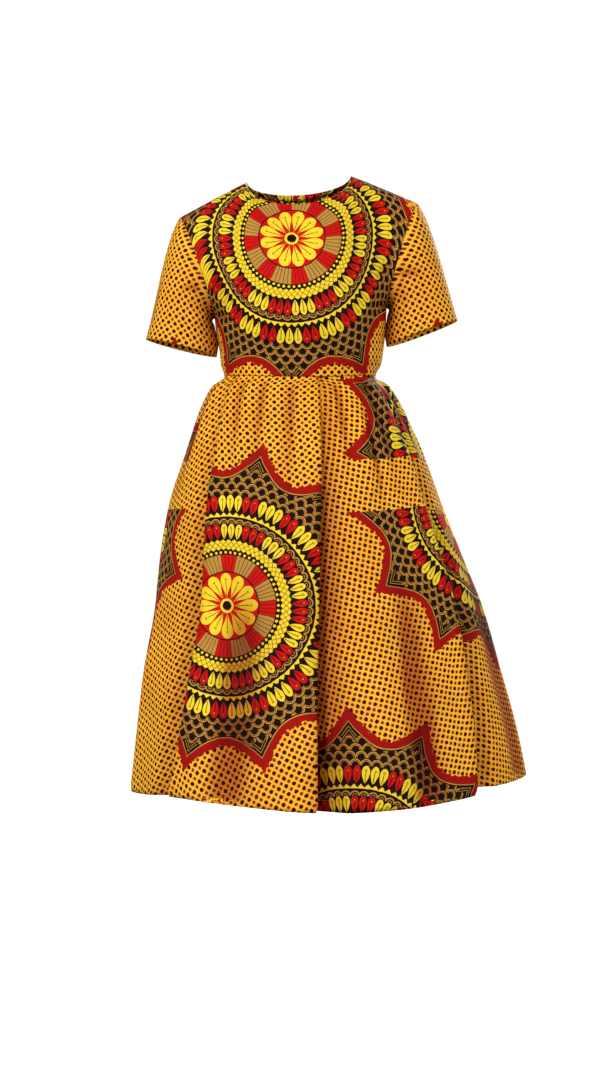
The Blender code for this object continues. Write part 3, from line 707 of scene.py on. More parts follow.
def bodice_piece(node, across, facing, middle_column, centre, material, sizes):
    """One panel of the bodice, creased and turned under on its four edges."""
    heights = bodice_heights()
    grid_across, grid_height = np.meshgrid(across, heights)
    points = bodice_points(grid_across, grid_height, facing)
    away = -1 if facing == "front" else 1
    at_side = (np.abs(grid_across) == 1) & (grid_height <= 1)
    at_shoulder = (grid_height == 2) & (np.abs(grid_across) >= NECK_COLUMN)
    points[..., 1] += away * SEAM_GAP / 2 * at_side
    points[..., 2] += SEAM_GAP / 2 * (grid_height == 0)
    points[..., 1] += away * SEAM_GAP / 2 * at_shoulder
    maps = list(bodice_maps(points, middle_column, centre))
    inside = on_axis(points) + np.array([0.0, BODICE_MIDDLE_Y, 0.0])
    place = lambda across, height: bodice_points(across, height, facing)
    points, moved = creased(points, normals_out(points, inside), BODICE_CREASES[node], place)
    # painted shade in the creases' troughs
    maps.append(painted_shade_map(0.0, moved))
    if facing == "back":
        edge = int(np.argmin(np.abs(across)))
        side = 1 if node.endswith("left") else -1
        points[:, edge, 0] = side * centre_back_gap(points[:, edge, 2])
    grid = (points, normals_out(points, inside), maps)
    for axis, end in ALL_EDGES:
        grid = turned_under(*grid, axis, end, sizes.seam_turn, sizes.turn_gap)
    points, normals, maps = grid
    corner_maps = {name: corners_of(layer) for name, layer in zip(MAP_NAMES, maps)}
    mesh = cloth_mesh(node, points, corner_maps, flip=faces_in(points, normals))
    return show(node, mesh, material, sizes)


def build_bodice(material, sizes):
    """The front, and the two backs that meet at the zip."""
    front = np.linspace(-1.0, 1.0, BODICE_SPANS + 1)
    half = BODICE_SPANS // 2
    right, left = np.linspace(-1.0, 0.0, half + 1), np.linspace(0.0, 1.0, half + 1)
    piece = bodice_piece("bodice_front", front, "front", half, CHEST_MEDALLION, material, sizes)
    piece = bodice_piece("bodice_back_right", right, "back", half, BACK_MEDALLION, material, sizes)
    piece = bodice_piece("bodice_back_left", left, "back", 0, BACK_MEDALLION, material, sizes)


# Sleeve pieces

SLEEVE_CREASES = {
    # across is the turn in degrees from the shoulder by the front, along runs from 0 at the armhole to 1;
    # the last of each is the fullness under the arm
    "sleeve_right": (
        (120, 0.10, 70, 0.55, 0.0, 0.0075, -0.0030, 0.20, 0.60),
        (150, 0.22, 90, 0.80, 0.0, 0.0080, 0.0024, 0.20, 0.60),
        (235, 0.12, 300, 0.60, 0.0, 0.0080, -0.0030, 0.20, 0.60),
        (45, 0.02, 40, 0.30, 0.0, 0.0070, 0.0018, 0.15, 0.70),
        (20, 0.45, 12, 0.95, 0.0, 0.0110, -0.0020, 0.40, 0.30),
        (180, 0.04, 180, 0.94, 0.0, 0.0340, 0.0068, 0.32, 0.40),
    ),
    "sleeve_left": (
        (118, 0.08, 64, 0.58, 0.0, 0.0080, -0.0032, 0.20, 0.60),
        (152, 0.25, 96, 0.85, 0.0, 0.0080, 0.0024, 0.20, 0.60),
        (238, 0.10, 296, 0.55, 0.0, 0.0080, -0.0028, 0.20, 0.60),
        (38, 0.02, 30, 0.34, 0.0, 0.0070, 0.0018, 0.15, 0.70),
        (330, 0.40, 338, 0.95, 0.0, 0.0110, -0.0020, 0.40, 0.30),
        (180, 0.04, 180, 0.94, 0.0, 0.0340, 0.0062, 0.32, 0.40),
    ),
}

# Where the tip of a medallion's border rises into each sleeve's hem: its turn in degrees, and how far its
# middle would lie below the hem
SLEEVE_MEDALLIONS = {"sleeve_right": (84.0, 0.275), "sleeve_left": (68.0, 0.272)}


def sleeve_maps(points, side, column, below):
    """(ground, medallion) maps with the grain along the sleeve. The columns start at the underarm seam."""
    tilt = math.radians(SLEEVE_HEM["tilt"])
    grain = np.array([side * math.sin(tilt), 0.0, -math.cos(tilt)])
    down = points @ grain
    steps = np.diff(points, axis=1)
    steps = steps - (steps @ grain)[..., None] * grain
    across = np.cumsum(np.pad(np.linalg.norm(steps, axis=-1), [(0, 0), (1, 0)]), axis=1)
    across = across - across[:, [across.shape[1] // 2]]
    ground = np.stack([across, -down], axis=-1)
    return ground, ground - np.array([across[-1, column], -down[-1, column] - below])


def underarm_painted_shade(turns, alongs):
    """How near the cloth lies to the underarm, from 0 to 1, for the shade painted on the print there."""
    away = (math.pi - np.abs(turns)) / math.radians(UNDERARM_PAINTED_SHADE["reach"])
    at_seam, at_hem = UNDERARM_PAINTED_SHADE["at_seam"], UNDERARM_PAINTED_SHADE["at_hem"]
    return np.exp(-(away**2)) * (at_seam + (at_hem - at_seam) * alongs)


def sleeve_piece(node, side, material, sizes):
    """A sleeve, closed at its underarm seam and turned under at its hem and its armhole."""
    turns = np.linspace(-math.pi, math.pi, SLEEVE_SPANS + 1)
    alongs = np.linspace(0.0, 1.0, SLEEVE_ROWS + 1) ** SLEEVE_ROW_EASE
    grid_turn, grid_along = np.meshgrid(turns, alongs)
    points = sleeve_points(side, grid_turn, grid_along)
    turn, below = SLEEVE_MEDALLIONS[node]
    column = int(round((turn + 180) / 360 * SLEEVE_SPANS))
    maps = list(sleeve_maps(points, side, column, below))
    middle = points[:, :-1].mean(axis=1, keepdims=True)
    place = lambda turn, along: sleeve_points(side, np.radians(turn), along)
    points, moved = creased(points, normals_out(points, middle), SLEEVE_CREASES[node], place)
    # painted shade under the arm and in the creases' troughs
    maps.append(painted_shade_map(underarm_painted_shade(grid_turn, grid_along), moved))
    points[:, -1] = points[:, 0]
    normals = normals_out(points, middle)
    normals[:, 0] = normals[:, -1] = unit(normals[:, 0] + normals[:, -1])
    grid = turned_under(points, normals, maps, 0, "last", sizes.sleeve_hem, sizes.turn_gap)
    points, normals, maps = turned_under(*grid, 0, "first", sizes.seam_turn, sizes.turn_gap)
    corner_maps = {name: corners_of(layer) for name, layer in zip(MAP_NAMES, maps)}
    mesh = cloth_mesh(node, points, corner_maps, closed=True, flip=faces_in(points, normals))
    piece = show(node, mesh, material, sizes)
    return piece


def build_sleeves(material, sizes):
    """The two sleeves, set into the armholes."""
    sleeve_piece("sleeve_right", -1, material, sizes)
    sleeve_piece("sleeve_left", 1, material, sizes)


# Skirt pieces

MEDALLION_COLUMNS = ("angle", "drop", "turn", "from_drop", "to_drop")
SKIRT_MEDALLIONS = {
    # angle in degrees round from the centre front, and drop below the waist seam, of each middle; its own
    # turn in degrees; and the drops between which it is printed
    "front_right": (-28.4, 0.397, 10.0, 0.0, 1.0),
    "hip_left": (110.0, 0.136, 0.0, 0.0, 0.149),
    "thigh_left": (92.0, 0.245, 3.0, 0.2315, 1.0),
    "hem_left": (12.0, 0.830, 0.0, 0.0, 1.0),
    "side_right": (-127.0, 0.260, -11.0, 0.0, 1.0),
    "back_left": (142.0, 0.500, -8.0, 0.0, 1.0),
    "back_right": (-152.0, 0.330, 5.0, 0.0, 1.0),
    "hem_right": (-112.0, 0.800, 0.0, 0.0, 1.0),
    "hem_back": (-168.0, 0.905, 9.0, 0.0, 1.0),
}

ZONE_COLUMNS = ("lean", "bend", "medallions")
SKIRT_ZONES = {
    # between pleats: the grain's lean from straight down in degrees, its bend to the hem in 1/m, and the
    # medallions
    "skirt_front": (
        (24.0, 0.0, ("side_right",)),
        (6.0, -0.5, ("front_right",)),
        (28.0, 0.0, ("hip_left", "thigh_left", "hem_left")),
        (30.0, 0.0, ("hip_left", "thigh_left")),
    ),
    "skirt_back_left": (
        (20.0, 0.0, ("hip_left", "thigh_left")),
        (10.0, 0.2, ("back_left",)),
        (0.0, 0.0, ("back_left",)),
    ),
    "skirt_back_right": (
        (0.0, 0.0, ("back_right", "hem_back")),
        (-12.0, -0.2, ("back_right",)),
        (-24.0, 0.0, ("side_right", "hem_right")),
    ),
}

# A join in the print: a strip of plain ground across two of the front's zones
PRINT_JOIN = {"from_drop": 0.149, "to_drop": 0.2315, "zones": (("skirt_front", 2), ("skirt_front", 0))}

SKIRT_CREASES = {
    # across is the angle in degrees, along runs from 0 at the waist to 1 at the hem
    "skirt_front": (
        (8.5, 0.06, 3.0, 1.00, -2.0, 0.0130, 0.0050, 0.25, 0.02),
        (-47.0, 0.06, -47.6, 1.00, 9.3, 0.0130, 0.0045, 0.25, 0.02),
        (56.5, 0.06, 47.0, 1.00, 3.2, 0.0130, 0.0045, 0.25, 0.02),
        (34.0, 0.03, 28.0, 0.40, 0.0, 0.0090, 0.0045, 0.30, 0.60),
        (39.0, 0.03, 33.0, 0.38, 0.0, 0.0070, -0.0040, 0.30, 0.60),
        (-41.0, 0.00, -34.0, 0.26, 1.0, 0.0070, -0.0036, 0.10, 0.80),
        (-34.0, 0.00, -28.0, 0.34, 1.0, 0.0090, 0.0036, 0.10, 0.80),
        (-24.0, 0.00, -21.0, 0.30, 0.0, 0.0070, -0.0034, 0.10, 0.80),
        (-15.0, 0.00, -13.0, 0.26, 0.0, 0.0070, 0.0026, 0.10, 0.80),
        (-5.0, 0.00, -6.0, 0.40, 0.0, 0.0075, -0.0036, 0.10, 0.80),
        (1.0, 0.00, 0.5, 0.34, 0.0, 0.0070, 0.0028, 0.10, 0.80),
        (24.0, 0.00, 21.0, 0.30, 0.0, 0.0075, -0.0034, 0.10, 0.80),
        (48.0, 0.00, 44.0, 0.32, 0.0, 0.0080, -0.0036, 0.10, 0.80),
        (74.0, 0.00, 71.0, 0.34, 0.0, 0.0080, -0.0036, 0.10, 0.80),
        (82.0, 0.00, 80.0, 0.30, 0.0, 0.0080, 0.0030, 0.10, 0.80),
        (-66.0, 0.00, -64.0, 0.34, 0.0, 0.0080, 0.0034, 0.10, 0.80),
        (-76.0, 0.00, -72.0, 0.40, 0.0, 0.0080, -0.0038, 0.10, 0.80),
        (-22.0, 0.42, -25.0, 1.00, 2.0, 0.0280, -0.0080, 0.60, 0.02),
        (-38.0, 0.50, -38.0, 1.00, 0.0, 0.0240, 0.0060, 0.60, 0.02),
        (24.0, 0.45, 21.0, 1.00, 0.0, 0.0280, 0.0070, 0.60, 0.02),
        (35.0, 0.40, 33.0, 1.00, -1.0, 0.0220, -0.0080, 0.60, 0.02),
        (78.0, 0.40, 74.0, 1.00, 0.0, 0.0280, -0.0080, 0.60, 0.02),
        (-76.0, 0.40, -74.0, 1.00, 0.0, 0.0260, 0.0070, 0.60, 0.02),
    ),
    "skirt_back_left": (
        (116.5, 0.06, 120.5, 1.00, 0.3, 0.0130, 0.0042, 0.25, 0.02),
        (154.0, 0.06, 157.0, 1.00, 0.3, 0.0130, 0.0042, 0.25, 0.02),
        (97.0, 0.00, 96.0, 0.26, 0.0, 0.0080, -0.0032, 0.10, 0.80),
        (106.0, 0.00, 104.0, 0.36, 0.0, 0.0085, 0.0036, 0.10, 0.80),
        (128.0, 0.00, 129.0, 0.30, 0.0, 0.0075, 0.0030, 0.10, 0.80),
        (136.0, 0.00, 138.0, 0.40, 0.0, 0.0090, -0.0040, 0.10, 0.80),
        (163.0, 0.00, 163.0, 0.26, 0.0, 0.0075, -0.0030, 0.10, 0.80),
        (169.0, 0.00, 168.0, 0.36, 0.0, 0.0080, 0.0034, 0.10, 0.80),
        (138.0, 0.42, 136.0, 1.00, 1.0, 0.0280, -0.0080, 0.60, 0.02),
        (129.0, 0.50, 128.0, 1.00, 0.0, 0.0220, 0.0050, 0.60, 0.02),
        (104.0, 0.45, 103.0, 1.00, 0.0, 0.0270, 0.0070, 0.60, 0.02),
        (169.0, 0.48, 168.0, 1.00, 0.0, 0.0260, -0.0060, 0.60, 0.02),
    ),
    "skirt_back_right": (
        (-118.5, 0.06, -120.5, 1.00, 0.3, 0.0130, 0.0042, 0.25, 0.02),
        (-156.0, 0.06, -158.0, 1.00, 0.3, 0.0130, 0.0042, 0.25, 0.02),
        (-97.0, 0.00, -96.0, 0.30, 0.0, 0.0080, 0.0032, 0.10, 0.80),
        (-107.0, 0.00, -105.0, 0.24, 0.0, 0.0075, -0.0030, 0.10, 0.80),
        (-130.0, 0.00, -131.0, 0.38, 0.0, 0.0085, -0.0038, 0.10, 0.80),
        (-141.0, 0.00, -140.0, 0.28, 0.0, 0.0080, 0.0032, 0.10, 0.80),
        (-164.0, 0.00, -163.0, 0.34, 0.0, 0.0080, -0.0036, 0.10, 0.80),
        (-171.0, 0.00, -171.0, 0.24, 0.0, 0.0070, 0.0028, 0.10, 0.80),
        (-137.0, 0.45, -139.0, 1.00, 0.0, 0.0280, 0.0075, 0.60, 0.02),
        (-147.0, 0.52, -147.0, 1.00, 0.0, 0.0210, -0.0050, 0.60, 0.02),
        (-105.0, 0.48, -105.0, 1.00, 0.0, 0.0270, -0.0075, 0.60, 0.02),
        (-168.0, 0.46, -169.0, 1.00, 0.0, 0.0250, 0.0055, 0.60, 0.02),
    ),
}


def outline_arc(drop, from_angle, to_angle):
    """How far the skirt's plain outline runs between two angles, at each drop."""
    share = np.linspace(0.0, 1.0, 25)
    angles = from_angle[:, None] + (to_angle - from_angle)[:, None] * share
    points = skirt_outline(angles, np.broadcast_to(drop[:, None], angles.shape))[0]
    arcs = np.linalg.norm(np.diff(points, axis=1), axis=-1).sum(axis=1)
    return arcs * np.sign(to_angle - from_angle)


def skirt_downs():
    """Shares of the length for the rows, with a row on each edge of the print join."""
    even = np.linspace(0.0, 1.0, SKIRT_ROWS)
    band = SEAM_BAND / LONGEST_PANEL
    downs = np.concatenate([[0.0], band + (1 - band) * even**SKIRT_ROW_EASE])
    for edge in ("from_drop", "to_drop"):
        downs[join_row(downs, edge)] = PRINT_JOIN[edge] / USUAL_PANEL
    return downs


def join_row(downs, edge):
    """The row that lies nearest one edge of the print join."""
    return int(np.argmin(np.abs(downs - PRINT_JOIN[edge] / USUAL_PANEL)))


def zone_maps(points, angles, reference, zone):
    """The ground map of one zone and the map of each medallion on it, over the whole panel.

    Lengths run across each row from the zone's reference column and down that column from the waist.
    """
    across = runs(points, 1)
    across = across - across[:, [reference]]
    down = runs(points, 0)[:, reference]
    lean, bend = math.radians(zone["lean"]), zone["bend"]
    turned_across = across * math.cos(lean) - down[:, None] * math.sin(lean)
    turned_down = across * math.sin(lean) + down[:, None] * math.cos(lean)
    if bend:
        radius = 1 / bend
        apart = turned_across + radius
        turn = np.arctan2(turned_down * np.sign(radius), apart * np.sign(radius))
        turned_across = np.hypot(apart, turned_down) * np.sign(radius) - radius
        turned_down = radius * turn
    ground = np.stack([turned_across, -turned_down], axis=-1)
    drop = WAIST_Z - points[:, reference, 2]
    found = []
    for name in zone["medallions"]:
        middle = dict(zip(MEDALLION_COLUMNS, SKIRT_MEDALLIONS[name]))
        from_angle = np.full(len(drop), math.radians(middle["angle"]))
        arcs = outline_arc(drop, from_angle, angles[:, reference])
        sideways = across + np.interp(middle["drop"], drop, arcs)
        slope = (down[-1] - down[-HEM_SLOPE_ROWS]) / (drop[-1] - drop[-HEM_SLOPE_ROWS])
        centre_down = np.interp(middle["drop"], drop, down) + max(middle["drop"] - drop[-1], 0.0) * slope
        upwards = np.broadcast_to(centre_down - down[:, None], sideways.shape)
        turn = math.radians(middle["turn"])
        turned = np.stack(
            [
                sideways * math.cos(turn) - upwards * math.sin(turn),
                sideways * math.sin(turn) + upwards * math.cos(turn),
            ],
            axis=-1,
        )
        above, below = drop < middle["from_drop"] - PRINT_SLACK, drop > middle["to_drop"] + PRINT_SLACK
        turned[above | below] = FAR_AWAY
        found.append(turned)
    return ground, found


def pleat_painted_shade(angles, down):
    """How much shade is painted on the print at each place from the pleats, from 0 to 1: less near the
    waist, where pleats are shallow.
    """
    angles, down = np.broadcast_arrays(angles, down)
    drop = down * look_up(HEM_LENGTHS, HEM_COLUMNS, "drop", np.degrees(angles))
    opened = SHADE_AT_WAIST + (1 - SHADE_AT_WAIST) * smooth(down / FULL_SHADE_FROM)
    return pleated(angles, down, drop)[2] * opened


def seam_x(node):
    """Where a back panel's centre-back edge lies."""
    return SEAM_GAP / 2 * (1 if node == "skirt_back_left" else -1)


def printed_zones(node, downs, zones, layers):
    """(ground, medallion) maps at the corners of a panel's faces, each from the zone that a face is in.

    The layers are each zone's ground map and then its medallions' maps, with the turned edges already on.
    """
    pleats = PLAIN_SPANS + FLANK_SPANS + ZONE_SPANS * np.arange(len(zones) - 1) + len(TURN_STEPS)
    ground = np.zeros_like(corners_of(layers[0]))
    medallion = np.full_like(ground, FAR_AWAY)
    face_zone = np.searchsorted(pleats, np.arange(ground.shape[1]), side="right")
    joined = slice(*[join_row(downs, edge) + len(TURN_STEPS) for edge in ("from_drop", "to_drop")])
    taken = 0
    for k, zone in enumerate(zones):
        here = face_zone == k
        after = taken + 1 + len(zone["medallions"])
        ground[:, here] = corners_of(layers[taken])[:, here]
        medallion[:, here] = nearest_medallion(layers[taken + 1 : after])[:, here]
        if (node, k) in PRINT_JOIN["zones"]:
            medallion[joined, here] = FAR_AWAY
        taken = after
    return ground, medallion


def skirt_piece(node, first, last, material, sizes):
    """One panel of the skirt, pleated, creased and turned under. Its print starts afresh at each pleat."""
    downs = skirt_downs()
    angles = skirt_angles(first, last, downs)
    points = skirt_points(angles, downs[:, None])
    for edge, at in ((0, first), (-1, last)):
        if abs(at) == 90:
            points[:, edge, 1] += (SEAM_GAP / 2) * (-1 if node == "skirt_front" else 1)
        else:
            points[:, edge, 0] = seam_x(node)
    points[0, :, 2] -= SEAM_GAP / 2
    zones = [dict(zip(ZONE_COLUMNS, row)) for row in SKIRT_ZONES[node]]
    layers = []
    for k, zone in enumerate(zones):
        ground, medallions = zone_maps(points, angles, PLAIN_SPANS // 2 + ZONE_SPANS * k, zone)
        layers += [ground, *medallions]
    inside = on_axis(points)
    place = lambda angle, down: skirt_points(np.radians(angle), down)
    points, moved = creased(points, normals_out(points, inside), SKIRT_CREASES[node], place)
    # painted shade in the pleats and in the creases' troughs
    layers.append(painted_shade_map(pleat_painted_shade(angles, downs[:, None]), moved))
    if node != "skirt_front":
        points[:, -1 if node == "skirt_back_left" else 0, 0] = seam_x(node)
    grid = (points, normals_out(points, inside), layers)
    for axis, end in ALL_EDGES:
        turn = sizes.skirt_hem if (axis, end) == (0, "last") else sizes.seam_turn
        grid = turned_under(*grid, axis, end, turn, sizes.turn_gap)
    points, normals, layers = grid
    printed = printed_zones(node, downs, zones, layers)
    corner_maps = dict(zip(MAP_NAMES, (*printed, corners_of(layers[-1]))))
    mesh = cloth_mesh(node, points, corner_maps, flip=faces_in(points, normals))
    return show(node, mesh, material, sizes)


def build_skirt(material, sizes):
    """The front and the two backs, pleated into the waist seam."""
    piece = skirt_piece("skirt_front", -90, 90, material, sizes)
    piece = skirt_piece("skirt_back_left", 90, 180, material, sizes)
    piece = skirt_piece("skirt_back_right", -180, -90, material, sizes)


# Materials


def linear(hex_colour):
    """An sRGB hex colour as linear red, green, blue and full alpha."""
    parts = [int(hex_colour[i : i + 2], 16) / 255 for i in (1, 3, 5)]
    return (*[p / 12.92 if p <= 0.04045 else ((p + 0.055) / 1.055) ** 2.4 for p in parts], 1.0)


def add(tree, kind, *inputs, **settings):
    """Adds a node, sets it, and links or sets its open inputs in order. Returns its first open output."""
    made = tree.nodes.new(kind)
    for name, value in settings.items():
        setattr(made, name, value)
    sockets = [socket for socket in made.inputs if socket.enabled]
    for socket, value in zip(sockets, inputs):
        if isinstance(value, bpy.types.NodeSocket):
            tree.links.new(value, socket)
        elif value is not None:
            socket.default_value = value
    return next(socket for socket in made.outputs if socket.enabled)


MATH, VECTOR, MIX = "ShaderNodeMath", "ShaderNodeVectorMath", "ShaderNodeMix"

# Print sizes, in millimetres on the cloth

DOT_PITCH = 12.7
BIG_DOT = 3.35  # radius
SMALL_DOT = 2.45
DOT_SQUARENESS = 2.5  # 2 is a circle, and more is a rounded square
NET_WIDTH = 0.15  # share of the pitch
# How far each map strays from straight, and how many times in a millimetre
WANDER = {"ground": (0.6, 0.16), "medallion": (2.0, 0.09), "threads": (0.3, 0.5)}

PETAL = {
    "bend": 1.45,  # above 1, a petal is broadest past its middle
    "roundness": 0.45,  # below 1, its ends are rounder
    "line": 0.8,  # left clear along each of its sides
    "vein": 0.6,  # half its width
    "vein_from": 0.10,  # shares of the petal's length
    "vein_to": 0.66,
    "eye_at": 0.74,
    "eye": 1.9,  # radius
}
FLOWER_MIDDLE = 20.0  # petals that start inside it lie on what is under them
RAY_LINE = 0.45
BEAD_GAP = 0.7
BRAID = {"chain": 5.0, "line": 0.75, "teeth": 3.6}
COLLAR = {"teeth": 6.0, "sunk": 0.6}
SCALLOP_ARCHES = ((6.2, 8.4), (3.0, 4.0))  # each from its inner radius to its outer

RING_COLUMNS = ("inner", "outer", "motif", "count", "first", "second", "every", "of")
RINGS = (
    # each is laid over those before it: where it lies, its motif and how many of that, its two colours, and
    # how many of each run take the first colour
    (0.0, 56.0, "plain", 1, "red", "red", 1, 1),
    (12.0, 55.0, "petals", 12, "yellow", "yellow", 1, 1),
    (0.0, 12.0, "plain", 1, "yellow", "yellow", 1, 1),
    (0.0, 8.0, "plain", 1, "dark", "dark", 1, 1),
    (56.0, 58.0, "plain", 1, "dark", "dark", 1, 1),
    (58.0, 86.0, "rays", 72, "red", "ochre", 4, 9),
    (86.0, 94.0, "plain", 1, "dark", "dark", 1, 1),
    (87.0, 93.0, "beads", 64, "yellow", "yellow", 1, 1),
    (94.0, 112.0, "braid", 66, "yellow", "brown", 1, 1),
    (112.0, 139.0, "petals", 60, "red", "yellow", 3, 6),
    (139.0, 151.0, "scallops", 60, "ochre", "ochre", 1, 1),
    (151.0, 159.0, "collar", 84, "yellow", "yellow", 1, 1),
    (159.0, 188.0, "petals", 75, "red", "yellow", 2, 5),
)

FIELD_FROM = 188.0
FIELD_ROW = 12.5
FIELD_COUNT = 68  # hoops in a row
HOOPS = ((8.2, 10.0), (6.2, 7.1))
HOOP_FOOT = 1.0

BORDER_RADIUS = 220.0  # to the field's edge, midway between two points
BORDER_POINTS = 12
BORDER_TURN = 0.25  # of a whole turn
BORDER_SAG = 2.1  # above 1, the edge hangs between its points
BORDER_POINT_RISE = 42.0
BORDER_WIDTH = 13.0
BORDER_WIDTH_AT_POINT = 24.0
BORDER_NIBBLE = 3.5
POINT_FROM = 0.62  # share of the way to a point's tip, at which it begins
POINT_CLEARED = (-21.0, 0.0)  # distances from the edge, less than 0 inside it
POINT_LINES = ((-11.0, -9.6), (-17.0, -15.8))
EDGE_CLEARED = (-4.6, 0.0)
EDGE_LINE = (-2.6, -0.6)

WEAVE_PITCH = 1.4


def millimetres(tree, uv_name, wander, often):
    """A UV map in millimetres, with its edges made slightly uneven as a hand-fed print is."""
    uv = add(tree, "ShaderNodeUVMap", uv_map=uv_name)
    place = add(tree, VECTOR, uv, (1000.0, 1000.0, 1000.0), operation="MULTIPLY")
    noise = add(tree, "ShaderNodeTexNoise", place, often, 2.0, 0.5, noise_dimensions="2D")
    colour = noise.node.outputs["Color"]
    centred = add(tree, VECTOR, colour, (0.5, 0.5, 0.5), operation="SUBTRACT")
    moved = add(tree, VECTOR, centred, (wander, wander, 0.0), operation="MULTIPLY")
    return add(tree, VECTOR, place, moved, operation="ADD")


def distance(tree, x, y):
    """How far a place is from the origin of its x and y."""
    place = add(tree, "ShaderNodeCombineXYZ", x, y)
    return add(tree, VECTOR, place, operation="LENGTH").node.outputs["Value"]


def between(tree, value, low, high):
    """1 where a value lies between two limits, else 0."""
    above = add(tree, MATH, value, low, operation="GREATER_THAN")
    below = add(tree, MATH, value, high, operation="LESS_THAN")
    return add(tree, MATH, above, below, operation="MULTIPLY")


def in_either(tree, value, limits):
    """1 where a value lies between either of two pairs of limits, else 0."""
    return add(tree, MATH, *[between(tree, value, *pair) for pair in limits], operation="MAXIMUM")


def sectors(tree, radius, turn, count):
    """A place's sector, how far it is sideways from the sector's middle, and half the sector's width."""
    run = add(tree, MATH, turn, float(count), operation="MULTIPLY")
    index = add(tree, MATH, run, operation="FLOOR")
    part = add(tree, MATH, add(tree, MATH, run, operation="FRACT"), 0.5, operation="SUBTRACT")
    width = add(tree, MATH, radius, 2 * math.pi / count, operation="MULTIPLY")
    across = add(tree, MATH, part, width, operation="MULTIPLY")
    return index, across, add(tree, MATH, width, 0.5, operation="MULTIPLY")


# A place in a ring: 1 if it is in the ring, then its sector, how far it is sideways from the sector's
# middle, that without its sign, half the sector's width there, and its share of the way out across the ring
Place = collections.namedtuple("Place", ("inside", "index", "across", "sideways", "half", "along"))


def ring_fill(tree, ring, at, colours):
    """The first colour in the first sectors of each run, and the second in the others."""
    cycle = add(tree, MATH, at.index, float(ring["of"]), operation="MODULO")
    is_first = add(tree, MATH, cycle, ring["every"] - 0.5, operation="LESS_THAN")
    return add(tree, MIX, is_first, colours[ring["second"]], colours[ring["first"]], data_type="RGBA")


def from_middle(tree, ring, at):
    """How far out a place is from the circle midway across the ring."""
    past_middle = add(tree, MATH, at.along, 0.5, operation="SUBTRACT")
    return add(tree, MATH, past_middle, ring["outer"] - ring["inner"], operation="MULTIPLY")


def petals(tree, ring, at, under, colours):
    """Petals with a vein and an eye, on dark unless they belong to the flower in the middle."""
    dark = colours["dark"]
    bent = add(tree, MATH, at.along, PETAL["bend"], operation="POWER")
    belly = add(tree, MATH, add(tree, MATH, bent, math.pi, operation="MULTIPLY"), operation="SINE")
    rounded = add(tree, MATH, belly, PETAL["roundness"], operation="POWER")
    edge = add(tree, MATH, at.half, rounded, operation="MULTIPLY")
    body = add(tree, MATH, edge, PETAL["line"], operation="SUBTRACT")
    in_body = add(tree, MATH, at.sideways, body, operation="LESS_THAN")
    near_vein = add(tree, MATH, at.sideways, PETAL["vein"], operation="LESS_THAN")
    in_length = between(tree, at.along, PETAL["vein_from"], PETAL["vein_to"])
    vein = add(tree, MATH, near_vein, in_length, operation="MULTIPLY")
    past_eye = add(tree, MATH, at.along, PETAL["eye_at"], operation="SUBTRACT")
    from_eye = add(tree, MATH, past_eye, ring["outer"] - ring["inner"], operation="MULTIPLY")
    apart = distance(tree, at.across, from_eye)
    eye = add(tree, MATH, apart, PETAL["eye"], operation="LESS_THAN")
    pupil = add(tree, MATH, apart, PETAL["eye"] / 2, operation="LESS_THAN")
    petal = add(tree, MIX, vein, ring_fill(tree, ring, at, colours), dark, data_type="RGBA")
    petal = add(tree, MIX, eye, petal, dark, data_type="RGBA")
    petal = add(tree, MIX, pupil, petal, colours["yellow"], data_type="RGBA")
    if ring["inner"] > FLOWER_MIDDLE:
        under = add(tree, MIX, at.inside, under, dark, data_type="RGBA")
    mask = add(tree, MATH, in_body, at.inside, operation="MULTIPLY")
    return add(tree, MIX, mask, under, petal, data_type="RGBA")


def rays(tree, ring, at, under, colours):
    """Rays that widen outwards, with a dark line between them."""
    to_side = add(tree, MATH, at.half, at.sideways, operation="SUBTRACT")
    line = add(tree, MATH, to_side, RAY_LINE, operation="LESS_THAN")
    ray = add(tree, MIX, line, ring_fill(tree, ring, at, colours), colours["dark"], data_type="RGBA")
    return add(tree, MIX, at.inside, under, ray, data_type="RGBA")


def beads(tree, ring, at, under, colours):
    """Round beads on what is under them."""
    apart = distance(tree, at.across, from_middle(tree, ring, at))
    bead = add(tree, MATH, apart, (ring["outer"] - ring["inner"]) / 2 - BEAD_GAP, operation="LESS_THAN")
    mask = add(tree, MATH, bead, at.inside, operation="MULTIPLY")
    return add(tree, MIX, mask, under, colours[ring["first"]], data_type="RGBA")


def braid(tree, ring, at, under, colours):
    """A braid with toothed dark edges and a chain of diamonds down its middle."""
    share = add(tree, MATH, at.sideways, at.half, operation="DIVIDE")
    off_middle = add(tree, MATH, from_middle(tree, ring, at), operation="ABSOLUTE")
    chain = add(tree, MATH, share, BRAID["chain"], operation="MULTIPLY")
    past_chain = add(tree, MATH, off_middle, chain, operation="SUBTRACT")
    off_chain = add(tree, MATH, past_chain, operation="ABSOLUTE")
    line = add(tree, MATH, off_chain, BRAID["line"], operation="LESS_THAN")
    tooth = add(tree, MATH, share, -BRAID["teeth"], operation="MULTIPLY")
    edge = add(tree, MATH, tooth, (ring["outer"] - ring["inner"]) / 2, operation="ADD")
    rim = add(tree, MATH, off_middle, edge, operation="GREATER_THAN")
    band = add(tree, MIX, line, colours[ring["first"]], colours[ring["second"]], data_type="RGBA")
    band = add(tree, MIX, rim, band, colours["dark"], data_type="RGBA")
    return add(tree, MIX, at.inside, under, band, data_type="RGBA")


def collar(tree, ring, at, under, colours):
    """A collar whose outer edge runs up between the petals' feet, on dark."""
    share = add(tree, MATH, at.sideways, at.half, operation="DIVIDE")
    top = add(tree, MATH, share, COLLAR["teeth"], operation="MULTIPLY")
    highest = (ring["outer"] - ring["inner"]) / 2 - COLLAR["sunk"]
    edge = add(tree, MATH, highest, top, operation="SUBTRACT")
    below_edge = add(tree, MATH, from_middle(tree, ring, at), edge, operation="LESS_THAN")
    band = add(tree, MIX, below_edge, colours["dark"], colours[ring["first"]], data_type="RGBA")
    return add(tree, MIX, at.inside, under, band, data_type="RGBA")


